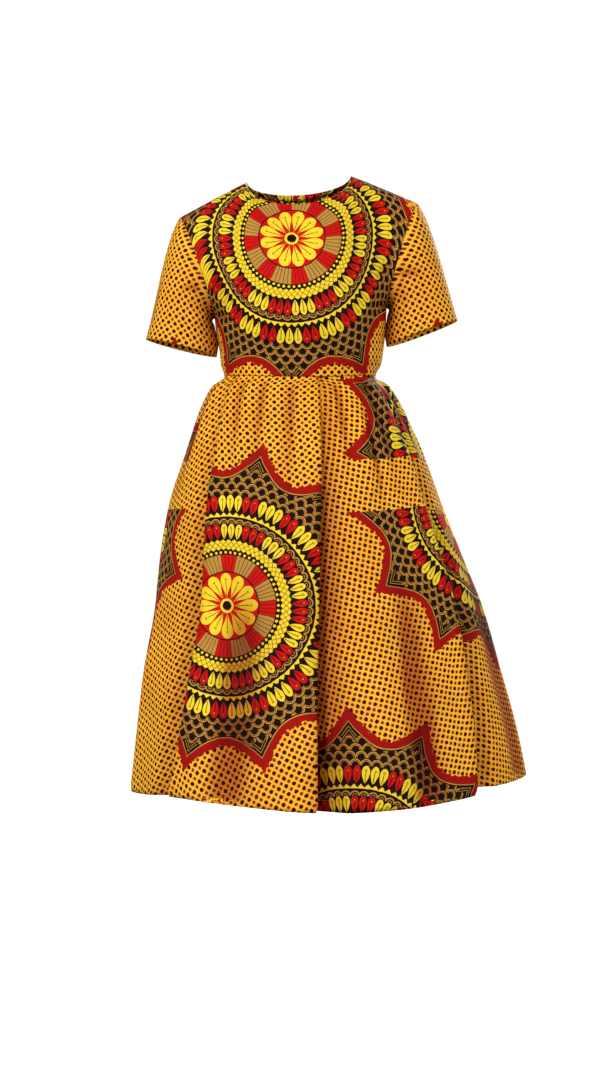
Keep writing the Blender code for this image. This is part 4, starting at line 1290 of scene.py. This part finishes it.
def scallops(tree, ring, at, under, colours):
    """An arch in each sector with a smaller one under it, on dark."""
    half_depth = (ring["outer"] - ring["inner"]) / 2
    from_foot = add(tree, MATH, from_middle(tree, ring, at), half_depth, operation="ADD")
    arches = in_either(tree, distance(tree, at.across, from_foot), SCALLOP_ARCHES)
    band = add(tree, MIX, arches, colours["dark"], colours[ring["first"]], data_type="RGBA")
    return add(tree, MIX, at.inside, under, band, data_type="RGBA")


MOTIFS = {
    "petals": petals,
    "rays": rays,
    "beads": beads,
    "braid": braid,
    "collar": collar,
    "scallops": scallops,
}


def ring_colour(tree, under, radius, turn, ring, colours):
    """The print's colour after one ring is laid over it."""
    inside = between(tree, radius, ring["inner"], ring["outer"])
    if ring["motif"] == "plain":
        return add(tree, MIX, inside, under, colours[ring["first"]], data_type="RGBA")
    index, across, half = sectors(tree, radius, turn, ring["count"])
    sideways = add(tree, MATH, across, operation="ABSOLUTE")
    along = add(tree, "ShaderNodeMapRange", radius, ring["inner"], ring["outer"], 0.0, 1.0)
    at = Place(inside, index, across, sideways, half, along)
    return MOTIFS[ring["motif"]](tree, ring, at, under, colours)


def field_colour(tree, radius, turn, colours):
    """Rows of gold hoops on the dark field outside the rings, each row half a hoop on from the last."""
    past_rings = add(tree, MATH, radius, FIELD_FROM, operation="SUBTRACT")
    out = add(tree, MATH, past_rings, FIELD_ROW, operation="DIVIDE")
    row = add(tree, MATH, out, operation="FLOOR")
    odd = add(tree, MATH, row, 2.0, operation="MODULO")
    offset = add(tree, MATH, odd, 0.5 / FIELD_COUNT, operation="MULTIPLY")
    shifted = add(tree, MATH, add(tree, MATH, turn, offset, operation="ADD"), 1.0, operation="FRACT")
    across = sectors(tree, radius, shifted, FIELD_COUNT)[1]
    height = add(tree, MATH, add(tree, MATH, out, operation="FRACT"), FIELD_ROW, operation="MULTIPLY")
    from_foot = add(tree, MATH, height, HOOP_FOOT, operation="SUBTRACT")
    hoops = in_either(tree, distance(tree, across, from_foot), HOOPS)
    return add(tree, MIX, hoops, colours["dark"], colours["gold"], data_type="RGBA")


def border_colour(tree, under, past, point_share, colours):
    """The field's edge: a thin gold line along it, and two more in each point."""
    dark, gold = colours["dark"], colours["gold"]
    in_point = add(tree, MATH, point_share, POINT_FROM, operation="GREATER_THAN")
    in_lines = in_either(tree, past, POINT_LINES)
    cleared = add(tree, MATH, in_point, between(tree, past, *POINT_CLEARED), operation="MULTIPLY")
    lines = add(tree, MATH, in_point, in_lines, operation="MULTIPLY")
    colour = add(tree, MIX, cleared, under, dark, data_type="RGBA")
    colour = add(tree, MIX, lines, colour, gold, data_type="RGBA")
    colour = add(tree, MIX, between(tree, past, *EDGE_CLEARED), colour, dark, data_type="RGBA")
    return add(tree, MIX, between(tree, past, *EDGE_LINE), colour, gold, data_type="RGBA")


def ground_colour(tree, colours):
    """The dotted ground: big dark dots on a square lattice and small ones between them, on a yellow net
    whose gaps are shaded to orange.
    """
    place = millimetres(tree, "ground", *WANDER["ground"])
    cells = add(tree, VECTOR, place, (1 / DOT_PITCH, 1 / DOT_PITCH, 0.0), operation="MULTIPLY")
    reach = []
    for shift in (0.0, 0.5):
        moved = add(tree, VECTOR, cells, (shift, shift, 0.0), operation="ADD")
        part = add(tree, VECTOR, moved, operation="FRACTION")
        centred = add(tree, VECTOR, part, (0.5, 0.5, 0.0), operation="SUBTRACT")
        reach.append(add(tree, VECTOR, centred, operation="ABSOLUTE"))
    split = add(tree, "ShaderNodeSeparateXYZ", reach[0]).node
    diamond = add(tree, MATH, split.outputs["X"], split.outputs["Y"], operation="ADD")
    off_net = add(tree, MATH, add(tree, MATH, diamond, 0.5, operation="SUBTRACT"), operation="ABSOLUTE")
    off_line = add(tree, "ShaderNodeMapRange", off_net, NET_WIDTH * 0.4, NET_WIDTH * 1.5, 0.0, 1.0)
    patches = add(tree, "ShaderNodeTexNoise", place, 0.010, 2.0, 0.5, noise_dimensions="2D")
    least = add(tree, "ShaderNodeMapRange", patches, 0.38, 0.66, 0.0, 0.38)
    in_gaps = add(tree, MATH, off_line, 0.9, operation="MULTIPLY")
    warmth = add(tree, MATH, in_gaps, least, operation="MAXIMUM")
    yellow, orange = colours["yellow_ground"], colours["orange_ground"]
    colour = add(tree, MIX, warmth, yellow, orange, data_type="RGBA")
    uneven = add(tree, "ShaderNodeTexNoise", place, 0.35, 1.0, 0.5, noise_dimensions="2D")
    swell = add(tree, "ShaderNodeMapRange", uneven, 0.3, 0.7, 0.82, 1.15)
    for corner, radius, dot_colour in ((reach[1], SMALL_DOT, "small_dot"), (reach[0], BIG_DOT, "big_dot")):
        squared = add(tree, VECTOR, corner, corner, operation="MULTIPLY")
        split = add(tree, "ShaderNodeSeparateXYZ", squared).node
        power = DOT_SQUARENESS / 2
        parts = [add(tree, MATH, split.outputs[axis], power, operation="POWER") for axis in ("X", "Y")]
        total = add(tree, MATH, *parts, operation="ADD")
        apart = add(tree, MATH, total, 1 / DOT_SQUARENESS, operation="POWER")
        limit = add(tree, MATH, swell, radius / DOT_PITCH, operation="MULTIPLY")
        dot = add(tree, MATH, apart, limit, operation="LESS_THAN")
        colour = add(tree, MIX, dot, colour, colours[dot_colour], data_type="RGBA")
    return colour


def print_colour(tree, colours):
    """The whole print: the ground, and over it a round medallion inside a pointed red border."""
    place = millimetres(tree, "medallion", *WANDER["medallion"])
    split = add(tree, "ShaderNodeSeparateXYZ", place).node
    radius = add(tree, VECTOR, place, operation="LENGTH").node.outputs["Value"]
    angle = add(tree, MATH, split.outputs["Y"], split.outputs["X"], operation="ARCTAN2")
    turn = add(tree, "ShaderNodeMapRange", angle, -math.pi, math.pi, 0.0, 1.0)
    # the field's edge sags inwards between its points: the share is 1 at a point and 0 midway
    turned = add(tree, MATH, turn, BORDER_TURN, operation="ADD")
    run = add(tree, MATH, turned, float(BORDER_POINTS), operation="MULTIPLY")
    part = add(tree, MATH, add(tree, MATH, run, operation="FRACT"), 0.5, operation="SUBTRACT")
    to_point = add(tree, MATH, add(tree, MATH, part, operation="ABSOLUTE"), 2.0, operation="MULTIPLY")
    point_share = add(tree, MATH, to_point, BORDER_SAG, operation="POWER")
    rise = add(tree, MATH, point_share, BORDER_POINT_RISE, operation="MULTIPLY")
    past_circle = add(tree, MATH, radius, BORDER_RADIUS, operation="SUBTRACT")
    past = add(tree, MATH, past_circle, rise, operation="SUBTRACT")
    colour = field_colour(tree, radius, turn, colours)
    for row in RINGS:
        colour = ring_colour(tree, colour, radius, turn, dict(zip(RING_COLUMNS, row)), colours)
    colour = border_colour(tree, colour, past, point_share, colours)
    widening = add(tree, MATH, point_share, BORDER_WIDTH_AT_POINT - BORDER_WIDTH, operation="MULTIPLY")
    nibbles = add(tree, "ShaderNodeTexNoise", place, 0.16, 1.0, 0.5, noise_dimensions="2D")
    least, most = BORDER_WIDTH - BORDER_NIBBLE, BORDER_WIDTH + BORDER_NIBBLE
    nibbled = add(tree, "ShaderNodeMapRange", nibbles, 0.3, 0.7, least, most)
    width = add(tree, MATH, widening, nibbled, operation="ADD")
    in_border = add(tree, MATH, past, 0.0, operation="GREATER_THAN")
    outside = add(tree, MATH, past, width, operation="GREATER_THAN")
    colour = add(tree, MIX, in_border, colour, colours["border_red"], data_type="RGBA")
    return add(tree, MIX, outside, colour, ground_colour(tree, colours), data_type="RGBA")


def new_material(name):
    """A new material, its node tree and its shader."""
    material = bpy.data.materials.new(name)
    material.use_nodes = True
    tree = material.node_tree
    return material, tree, tree.nodes["Principled BSDF"]


def printed_cotton(look):
    """Plain-weave cotton, wax-resist printed on both faces and calendered: strong colour, a crisp hand and
    only a faint, broad shine. Its threads are 0.35 mm apart, too fine to show, so it is drawn at 1.4 mm.
    """
    material, tree, shader = new_material("wax_printed_cotton")
    colours = {name: linear(getattr(look, name)) for name in PRINT_COLOURS}
    colour = print_colour(tree, colours)
    place = add(tree, "ShaderNodeTexCoord").node.outputs["Object"]
    shade = add(tree, "ShaderNodeTexNoise", place, 9.0, 3.0, 0.55)
    value = add(tree, "ShaderNodeMapRange", shade, 0.3, 0.7, 0.93, 1.06)
    # painted shade: the shade map darkens the print towards the painted fold shade colour in pleats, in the
    # creases' troughs and under the arms
    depth = add(tree, "ShaderNodeSeparateXYZ", add(tree, "ShaderNodeUVMap", uv_map="shade"))
    colour = add(tree, MIX, depth, colour, linear(look.fold_tone), data_type="RGBA", blend_type="MULTIPLY")
    toned = add(tree, "ShaderNodeHueSaturation", 0.5, 1.0, value, 1.0, colour)
    tree.links.new(toned, shader.inputs["Base Color"])
    threads = millimetres(tree, "ground", *WANDER["threads"])
    turned = add(tree, VECTOR, threads, (2 * math.pi / WEAVE_PITCH,) * 3, operation="MULTIPLY")
    split = add(tree, "ShaderNodeSeparateXYZ", turned).node
    waves = [add(tree, MATH, split.outputs[axis], operation="SINE") for axis in ("X", "Y")]
    weave = add(tree, MATH, *waves, operation="MULTIPLY")
    rumple = add(tree, "ShaderNodeTexNoise", place, 38.0, 3.0, 0.5)
    height = add(tree, MATH, weave, add(tree, MATH, rumple, 22.0, operation="MULTIPLY"), operation="ADD")
    bump = add(tree, "ShaderNodeBump", 0.30, 0.00025, None, height)
    tree.links.new(bump, shader.inputs["Normal"])
    rough = add(tree, "ShaderNodeMapRange", shade, 0.3, 0.7, 0.56, 0.68)
    tree.links.new(rough, shader.inputs["Roughness"])
    shader.inputs["Specular IOR Level"].default_value = 0.05
    return material


HERRINGBONE_PITCH = 0.0012


def woven_tape():
    """Woven polyester zip tape: a fine matt herringbone, drawn at 1.2 mm so that it shows."""
    material, tree, shader = new_material("woven_polyester_tape")
    place = add(tree, "ShaderNodeTexCoord").node.outputs["Object"]
    split = add(tree, "ShaderNodeSeparateXYZ", place).node
    across = add(tree, MATH, split.outputs["X"], operation="ABSOLUTE")
    slanted = add(tree, MATH, across, split.outputs["Z"], operation="ADD")
    turned = add(tree, MATH, slanted, 2 * math.pi / HERRINGBONE_PITCH, operation="MULTIPLY")
    wave = add(tree, MATH, turned, operation="SINE")
    share = add(tree, "ShaderNodeMapRange", wave, -1.0, 1.0, 0.0, 1.0)
    colour = add(tree, MIX, share, linear("#7e4a12"), linear("#9a5f1c"), data_type="RGBA")
    tree.links.new(colour, shader.inputs["Base Color"])
    tree.links.new(add(tree, "ShaderNodeBump", 0.5, 0.0002, None, wave), shader.inputs["Normal"])
    shader.inputs["Roughness"].default_value = 0.78
    return material


def moulded_nylon():
    """Moulded nylon coil: smooth and slightly glossy, dyed to match the tape."""
    material, tree, shader = new_material("dyed_nylon_coil")
    place = add(tree, "ShaderNodeTexCoord").node.outputs["Object"]
    noise = add(tree, "ShaderNodeTexNoise", place, 400.0, 2.0, 0.5)
    colour = add(tree, MIX, noise, linear("#6d3f10"), linear("#8f5a1c"), data_type="RGBA")
    tree.links.new(colour, shader.inputs["Base Color"])
    shader.inputs["Roughness"].default_value = 0.38
    return material


def sewing_thread():
    """Spun polyester thread: matt, with a fine twist drawn at 0.6 mm."""
    material, tree, shader = new_material("spun_polyester_thread")
    place = add(tree, "ShaderNodeTexCoord").node.outputs["Object"]
    wave = add(tree, "ShaderNodeTexNoise", place, 1600.0, 1.0, 0.5)
    colour = add(tree, MIX, wave, linear("#c98a1c"), linear("#e5ad3a"), data_type="RGBA")
    tree.links.new(colour, shader.inputs["Base Color"])
    shader.inputs["Roughness"].default_value = 0.85
    return material


def lacquered_brass():
    """Die-cast zip metal with an antique brass lacquer: satin, darker in the hollows left by tumbling."""
    material, tree, shader = new_material("lacquered_brass")
    place = add(tree, "ShaderNodeTexCoord").node.outputs["Object"]
    noise = add(tree, "ShaderNodeTexNoise", place, 900.0, 3.0, 0.6)
    colour = add(tree, MIX, noise, linear("#8c6a32"), linear("#c19a55"), data_type="RGBA")
    tree.links.new(colour, shader.inputs["Base Color"])
    rough = add(tree, "ShaderNodeMapRange", noise, 0.3, 0.7, 0.28, 0.42)
    tree.links.new(rough, shader.inputs["Roughness"])
    tree.links.new(add(tree, "ShaderNodeBump", 0.25, 0.00004, None, noise), shader.inputs["Normal"])
    shader.inputs["Metallic"].default_value = 0.9
    return material


def studio_paper(stage):
    """Matt white background paper, very slightly uneven, as seen under soft light."""
    material, tree, shader = new_material("matt_background_paper")
    place = add(tree, "ShaderNodeTexCoord").node.outputs["Object"]
    noise = add(tree, "ShaderNodeTexNoise", place, 1.3, 2.0, 0.5)
    white = linear(stage.paper)
    off_white = tuple(c * 0.985 for c in white[:3]) + (1.0,)
    tree.links.new(add(tree, MIX, noise, white, off_white, data_type="RGBA"), shader.inputs["Base Color"])
    shader.inputs["Roughness"].default_value = 0.9
    shader.inputs["Specular IOR Level"].default_value = 0.1
    shader.inputs["Emission Color"].default_value = white
    shader.inputs["Emission Strength"].default_value = stage.paper_glow
    return material


# Sewing and zip details, repeated along a path


def path_object(name, points):
    """A line of edges through the points, for a node tree to follow."""
    mesh = bpy.data.meshes.new(name)
    mesh.from_pydata([tuple(p) for p in points], [(i, i + 1) for i in range(len(points) - 1)], [])
    return linked(name, mesh)


def repeated_tree(name, material):
    """A node tree that lays rounded rods along its mesh's edges, turned by an angle from the path."""
    tree = bpy.data.node_groups.new(name, "GeometryNodeTree")
    inputs = (
        ("Spacing", "NodeSocketFloat", 0.003),
        ("Length", "NodeSocketFloat", 0.002),
        ("Thickness", "NodeSocketFloat", 0.0004),
        ("Turn", "NodeSocketFloat", 0.0),
    )
    tree.interface.new_socket("Geometry", in_out="INPUT", socket_type="NodeSocketGeometry")
    for label, kind, value in inputs:
        tree.interface.new_socket(label, in_out="INPUT", socket_type=kind).default_value = value
    tree.interface.new_socket("Geometry", in_out="OUTPUT", socket_type="NodeSocketGeometry")
    given = add(tree, "NodeGroupInput").node.outputs
    curve = add(tree, "GeometryNodeMeshToCurve", given["Geometry"])
    points = tree.nodes.new("GeometryNodeResampleCurve")
    points.mode = "LENGTH"
    tree.links.new(curve, points.inputs["Curve"])
    tree.links.new(given["Spacing"], points.inputs["Length"])
    tangent = add(tree, "GeometryNodeInputTangent")
    rotation = tree.nodes.new("FunctionNodeAlignRotationToVector")
    rotation.axis = "Z"
    tree.links.new(tangent, rotation.inputs["Vector"])
    rod = tree.nodes.new("GeometryNodeMeshUVSphere")
    rod.inputs["Segments"].default_value = 6
    rod.inputs["Rings"].default_value = 4
    rod.inputs["Radius"].default_value = 0.5
    size = add(tree, "ShaderNodeCombineXYZ", given["Thickness"], given["Thickness"], given["Length"])
    turn = add(tree, "ShaderNodeCombineXYZ", 0.0, given["Turn"], 0.0)
    shaped = tree.nodes.new("GeometryNodeTransform")
    tree.links.new(rod.outputs["Mesh"], shaped.inputs["Geometry"])
    tree.links.new(size, shaped.inputs["Scale"])
    tree.links.new(turn, shaped.inputs["Rotation"])
    placed = tree.nodes.new("GeometryNodeInstanceOnPoints")
    tree.links.new(points.outputs["Curve"], placed.inputs["Points"])
    tree.links.new(shaped.outputs["Geometry"], placed.inputs["Instance"])
    tree.links.new(rotation.outputs["Rotation"], placed.inputs["Rotation"])
    real = add(tree, "GeometryNodeRealizeInstances", placed.outputs["Instances"])
    finished = tree.nodes.new("GeometryNodeSetMaterial")
    finished.inputs["Material"].default_value = material
    tree.links.new(real, finished.inputs["Geometry"])
    out = tree.nodes.new("NodeGroupOutput")
    tree.links.new(finished.outputs["Geometry"], out.inputs["Geometry"])
    return tree


def repeated(name, points, tree, material, slot, **sizes):
    """A plain mesh of the tree's rods along the path through the points."""
    path = path_object(name + "_path", points)
    maker = path.modifiers.new("Repeat", "NODES")
    maker.node_group = tree
    for item in tree.interface.items_tree:
        if item.in_out == "INPUT" and item.name.lower() in sizes:
            maker[item.identifier] = sizes[item.name.lower()]
    bpy.context.view_layer.update()
    graph = bpy.context.evaluated_depsgraph_get()
    mesh = bpy.data.meshes.new_from_object(path.evaluated_get(graph), depsgraph=graph)
    path.modifiers.remove(maker)
    bpy.data.objects.remove(path)
    mesh.name = name
    mesh.shade_smooth()
    if not mesh.polygons:
        raise RuntimeError(f"{name} came out empty")
    if not mesh.materials:
        mesh.materials.append(material)
    piece = linked(name, mesh)
    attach(piece, "dress")
    return piece


STITCH_FROM_EDGE = 0.002  # of the turned hem
STITCH_LIFT = 0.00005  # of a stitch's middle above the cloth
STITCHES_CLEAR = 0.6  # degrees, from the side seams and the zip
SLEEVE_STITCHES = 0.925  # share of the sleeve's length


def skirt_line(above_hem, lift, first, last):
    """A path round the skirt, above its hem by a distance and outside its cloth by lift."""
    points_in_degree = 4
    count = int((last - first) * points_in_degree) + 1
    angles = np.linspace(math.radians(first), math.radians(last), count)
    downs = np.full_like(angles, 1.0 - above_hem / USUAL_PANEL)
    points = skirt_points(angles, downs)
    lower = skirt_points(angles, downs + 0.002)
    along = np.gradient(points, axis=0)
    normals = unit(np.cross(along, lower - points))
    inward = np.sum(normals * points * np.array([1.0, 1.0, 0.0]), axis=-1).mean() < 0
    return points + (-normals if inward else normals) * lift


def build_sewing(sizes):
    """The rows of stitches along the skirt's and the sleeves' hems."""
    thread = sewing_thread()
    tree = repeated_tree("stitch_row", thread)
    lift = sizes.cloth / 2 + STITCH_LIFT
    above_hem = sizes.skirt_hem - STITCH_FROM_EDGE
    stitch = {"spacing": 0.0032, "length": 0.0024, "thickness": 0.00045, "turn": 0.0}
    for name, first, last in (("front", -90, 90), ("back_left", 90, 180), ("back_right", -180, -90)):
        points = skirt_line(above_hem, lift, first + STITCHES_CLEAR, last - STITCHES_CLEAR)
        repeated("hem_stitches_" + name, points, tree, thread, "printed_cotton", **stitch)
    for name, side in (("right", -1), ("left", 1)):
        turns = np.linspace(0.0, 2 * math.pi, 145)
        row = sleeve_points(side, turns, np.full_like(turns, SLEEVE_STITCHES))
        points = row + unit(row - row[:-1].mean(axis=0)) * lift
        repeated("sleeve_stitches_" + name, points, tree, thread, "printed_cotton", **stitch)


# Zip

TAPE_SPANS = 12
TAPE_ROWS = 240
TAPE_THICKNESS = 0.0006
COIL_BEHIND_TAPE = 0.0008
COIL_PATH = slice(12, -4)  # the tape's rows that the coil runs past


def centre_back_line(heights):
    """Points down the centre back, midway through the cloth, at those heights."""
    downs = np.linspace(1.0, 0.0, 720)
    skirt = skirt_points(np.full_like(downs, math.pi), downs)
    bodice = bodice_points(np.zeros(90), np.linspace(0.0, 2.0, 90), "back")
    line = np.concatenate([skirt, bodice])
    return stacked(0.0, np.interp(heights, line[:, 2], line[:, 1]), heights)


def build_zip():
    """The zip's tape and coil, and the finish of its slider and tab."""
    tape_look, coil_look, metal = woven_tape(), moulded_nylon(), lacquered_brass()
    heights = np.linspace(ZIP_TOP_Z, WAIST_Z - ZIP_BELOW_WAIST, TAPE_ROWS)
    middle = centre_back_line(heights)
    radius = middle[:, [1]]
    across = np.linspace(-ZIP_HALF_WIDTH, ZIP_HALF_WIDTH, TAPE_SPANS + 1)
    x = np.broadcast_to(across, (len(heights), len(across)))
    y = middle[:, [1]] - (radius - np.sqrt(np.maximum(radius**2 - x**2, 0.0))) - ZIP_INSET
    points = stacked(x, y, heights[:, None])
    maps = np.stack([x, np.broadcast_to(heights[:, None], x.shape)], axis=-1)
    flip = faces_in(points, normals_out(points, on_axis(points)))
    mesh = cloth_mesh("zip_tape", points, {"ground": corners_of(maps)}, flip=flip)
    mesh.materials.append(tape_look)
    tape = linked("zip_tape_woven", mesh)
    wall = tape.modifiers.new("Tape", "SOLIDIFY")
    wall.thickness = TAPE_THICKNESS
    wall.offset = 0.0
    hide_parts("zip_tape")
    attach(tape, "dress")
    tree = repeated_tree("zip_coil", coil_look)
    path = middle - np.array([0.0, ZIP_INSET + COIL_BEHIND_TAPE, 0.0])
    coil = {"spacing": 0.0013, "length": 0.0042, "thickness": 0.0009, "turn": math.pi / 2}
    repeated("zip_coil", path[COIL_PATH], tree, coil_look, "zip_tape", **coil)
    for node in ("zip_slider", "zip_pull_tab"):
        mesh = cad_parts[node].data
        mesh.materials.clear()
        mesh.materials.append(metal)


# Stage

FLOOR_RADIUS = 4.0
WALL_BEND = 2.5  # radius of the sweep between the floor and the wall
WALL_TOP = 8.0
LIGHT_TARGET = (0.0, 0.0, -0.6)
SOFTBOXES = {
    # name: (place, size, share of the key light's power)
    "key_softbox": ((-2.4, -3.0, 1.2), 1.2, 1.0),
    "fill_softbox": ((2.4, -3.0, 0.2), 1.8, 0.48),
    "back_softbox": ((1.8, 3.2, 1.2), 1.4, 0.8),
}
CAMERA_X = 0.009
CAMERA_Z = -0.632


def build_floor(stage):
    """A floor that curves up into a round wall, so that no edge shows from any side."""
    profile = [(0.001, 0.0)]
    profile += [(r, 0.0) for r in np.linspace(0.3, FLOOR_RADIUS, 12)]
    for bend in np.linspace(0.1, math.pi / 2, 14):
        profile.append((FLOOR_RADIUS + WALL_BEND * math.sin(bend), WALL_BEND * (1 - math.cos(bend))))
    profile.append((FLOOR_RADIUS + WALL_BEND, WALL_TOP))
    turns = np.linspace(0.0, 2 * math.pi, 97)[:-1]
    radii, heights = np.array(profile).T[:, :, None]
    rows = stacked(radii * np.cos(turns), radii * np.sin(turns), stage.floor + heights)
    closed = np.concatenate([rows, rows[:, :1]], axis=1)
    mesh = cloth_mesh("studio_floor", closed, {}, closed=True)
    mesh.materials.append(studio_paper(stage))
    floor = linked("studio_floor", mesh)
    floor.visible_diffuse = False
    floor.visible_glossy = False
    floor.visible_shadow = False


def build_light(name, place, size, power):
    """A round softbox that faces the dress."""
    light = bpy.data.lights.new(name, "AREA")
    light.shape = "DISK"
    light.size = size
    light.energy = power
    lamp = linked(name, light)
    lamp.location = place
    x, y, z = np.array(LIGHT_TARGET) - np.array(place)
    lamp.rotation_euler = (math.pi / 2 + math.atan2(z, math.hypot(x, y)), 0.0, math.atan2(-x, y))


def build_stage(stage):
    """The floor, the light all round, the softboxes and the camera."""
    build_floor(stage)
    world = bpy.data.worlds.new("soft_box_room")
    world.use_nodes = True
    background = world.node_tree.nodes["Background"]
    background.inputs["Color"].default_value = linear("#ffffff")
    background.inputs["Strength"].default_value = stage.room_light
    bpy.context.scene.world = world
    for name, (place, size, share) in SOFTBOXES.items():
        build_light(name, place, size, stage.key_light * share)
    lens = bpy.data.cameras.new("camera")
    lens.sensor_width = 36.0
    lens.lens = stage.lens
    camera = linked("camera", lens)
    camera.location = (CAMERA_X, -stage.camera_distance, CAMERA_Z)
    camera.rotation_euler = (math.pi / 2, 0.0, 0.0)
    bpy.context.scene.camera = camera
    bpy.context.scene.view_settings.view_transform = "Standard"


# Add-on

PRINT_COLOURS = {
    # name: (hex, what it prints)
    "yellow_ground": ("#fbbe36", "the dotted ground's net"),
    "orange_ground": ("#dd7e10", "the dotted ground between the net and the dots"),
    "big_dot": ("#380502", "the big dots"),
    "small_dot": ("#782602", "the small dots"),
    "red": ("#c2100b", "petals, rays and borders"),
    "yellow": ("#eccb2c", "petals, beads and bands"),
    "ochre": ("#b3843a", "rays and scallops"),
    "gold": ("#c38d38", "hoops and fine lines on the dark field"),
    "brown": ("#7b4a12", "lines on the yellow bands"),
    "dark": ("#1d0a04", "the field and the outlines"),
    "border_red": ("#980f09", "the medallions' borders"),
    # painted shade: this colour stands for shade deep in folds, pleats and under the arms, not for the print
    "fold_tone": ("#aa6068", "the print deep in a fold, as a share of its own colour"),
}


class DressSizes(bpy.types.PropertyGroup):
    """Sizes of the cloth's sewing."""

    cloth: bpy.props.FloatProperty(
        name="Cloth thickness",
        description="Thickness of the cotton",
        default=0.0006,
        unit="LENGTH",
        precision=4,
    )
    seam_turn: bpy.props.FloatProperty(
        name="Seam allowance",
        description="Width turned under at each seam",
        default=0.010,
        unit="LENGTH",
    )
    turn_gap: bpy.props.FloatProperty(
        name="Turning depth",
        description="How far a turned edge lies inside the cloth",
        default=0.0007,
        unit="LENGTH",
        precision=4,
    )
    skirt_hem: bpy.props.FloatProperty(
        name="Skirt hem",
        description="Width of the turned hem",
        default=0.020,
        unit="LENGTH",
    )
    sleeve_hem: bpy.props.FloatProperty(
        name="Sleeve hem",
        description="Width of the turned hem on the sleeves",
        default=0.018,
        unit="LENGTH",
    )


class DressPrint(bpy.types.PropertyGroup):
    """Colours of the print, and of the shade painted deep in its folds, as sRGB hex values."""

    __annotations__ = {
        name: bpy.props.StringProperty(
            name=name.replace("_", " ").title(),
            description=f"Colour of {use}",
            default=code,
        )
        for name, (code, use) in PRINT_COLOURS.items()
    }


class DressStage(bpy.types.PropertyGroup):
    """The studio round the dress."""

    floor: bpy.props.FloatProperty(
        name="Floor height",
        description="Height of the floor",
        default=-1.55,
        unit="LENGTH",
    )
    paper: bpy.props.StringProperty(
        name="Paper",
        description="Colour of the background paper",
        default="#fdfdfd",
    )
    paper_glow: bpy.props.FloatProperty(
        name="Paper glow",
        description="Light behind the paper",
        default=0.45,
    )
    room_light: bpy.props.FloatProperty(
        name="Room light",
        description="Strength of the light all round",
        default=0.47,
    )
    key_light: bpy.props.FloatProperty(
        name="Key light",
        description="Power of the main softbox",
        default=117.0,
        unit="POWER",
    )
    lens: bpy.props.FloatProperty(
        name="Lens",
        description="Focal length",
        default=68.57,
        unit="CAMERA",
    )
    camera_distance: bpy.props.FloatProperty(
        name="Camera distance",
        description="How far in front of the dress the camera stands",
        default=3.6,
        unit="LENGTH",
    )


class DRESS_OT_bodice(bpy.types.Operator):
    """Build the front and the two back pieces of the bodice"""

    bl_idname = "dress.bodice"
    bl_label = "Bodice"

    def execute(self, context):
        build_bodice(cotton(context), context.scene.dress_sizes)
        return {"FINISHED"}


class DRESS_OT_sleeves(bpy.types.Operator):
    """Build the two set-in sleeves"""

    bl_idname = "dress.sleeves"
    bl_label = "Sleeves"

    def execute(self, context):
        build_sleeves(cotton(context), context.scene.dress_sizes)
        return {"FINISHED"}


class DRESS_OT_skirt(bpy.types.Operator):
    """Build the front and the two back panels of the pleated skirt"""

    bl_idname = "dress.skirt"
    bl_label = "Skirt"

    def execute(self, context):
        build_skirt(cotton(context), context.scene.dress_sizes)
        return {"FINISHED"}


class DRESS_OT_sewing(bpy.types.Operator):
    """Sew the stitch rows of the skirt's and sleeves' hems"""

    bl_idname = "dress.sewing"
    bl_label = "Hem stitches"

    def execute(self, context):
        build_sewing(context.scene.dress_sizes)
        return {"FINISHED"}


class DRESS_OT_zip(bpy.types.Operator):
    """Build the zip's tape and coil, and finish its slider and pull tab"""

    bl_idname = "dress.zip"
    bl_label = "Centre-back zip"

    def execute(self, context):
        build_zip()
        return {"FINISHED"}


class DRESS_OT_stage(bpy.types.Operator):
    """Build the floor, the lights and the camera"""

    bl_idname = "dress.stage"
    bl_label = "Studio"

    def execute(self, context):
        build_stage(context.scene.dress_stage)
        return {"FINISHED"}


OPERATORS = (
    DRESS_OT_bodice,
    DRESS_OT_sleeves,
    DRESS_OT_skirt,
    DRESS_OT_sewing,
    DRESS_OT_zip,
    DRESS_OT_stage,
)
GROUPS = {"dress_sizes": DressSizes, "dress_print": DressPrint, "dress_stage": DressStage}


class DRESS_PT_panel(bpy.types.Panel):
    """Lists the dress's settings and pieces"""

    bl_idname = "DRESS_PT_panel"
    bl_label = "Wax print dress"
    bl_space_type = "VIEW_3D"
    bl_region_type = "UI"
    bl_category = "Dress"

    def draw(self, context):
        for group_name, group in GROUPS.items():
            box = self.layout.box()
            for name in group.__annotations__:
                box.prop(getattr(context.scene, group_name), name)
        for operator in OPERATORS:
            self.layout.operator(operator.bl_idname)


def cotton(context):
    """The printed cotton, made the first time that a piece asks for it."""
    found = bpy.data.materials.get("wax_printed_cotton")
    return found or printed_cotton(context.scene.dress_print)


def register():
    for made in (*GROUPS.values(), *OPERATORS, DRESS_PT_panel):
        bpy.utils.register_class(made)
    for name, group in GROUPS.items():
        setattr(bpy.types.Scene, name, bpy.props.PointerProperty(type=group))


def unregister():
    for name in GROUPS:
        delattr(bpy.types.Scene, name)
    for made in (DRESS_PT_panel, *reversed(OPERATORS), *reversed(list(GROUPS.values()))):
        bpy.utils.unregister_class(made)


def main():
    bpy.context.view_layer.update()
    register()
    bpy.ops.dress.stage()
    bpy.ops.dress.bodice()
    bpy.ops.dress.sleeves()
    bpy.ops.dress.skirt()
    bpy.ops.dress.sewing()
    bpy.ops.dress.zip()


if __name__ == "__main__":
    main()
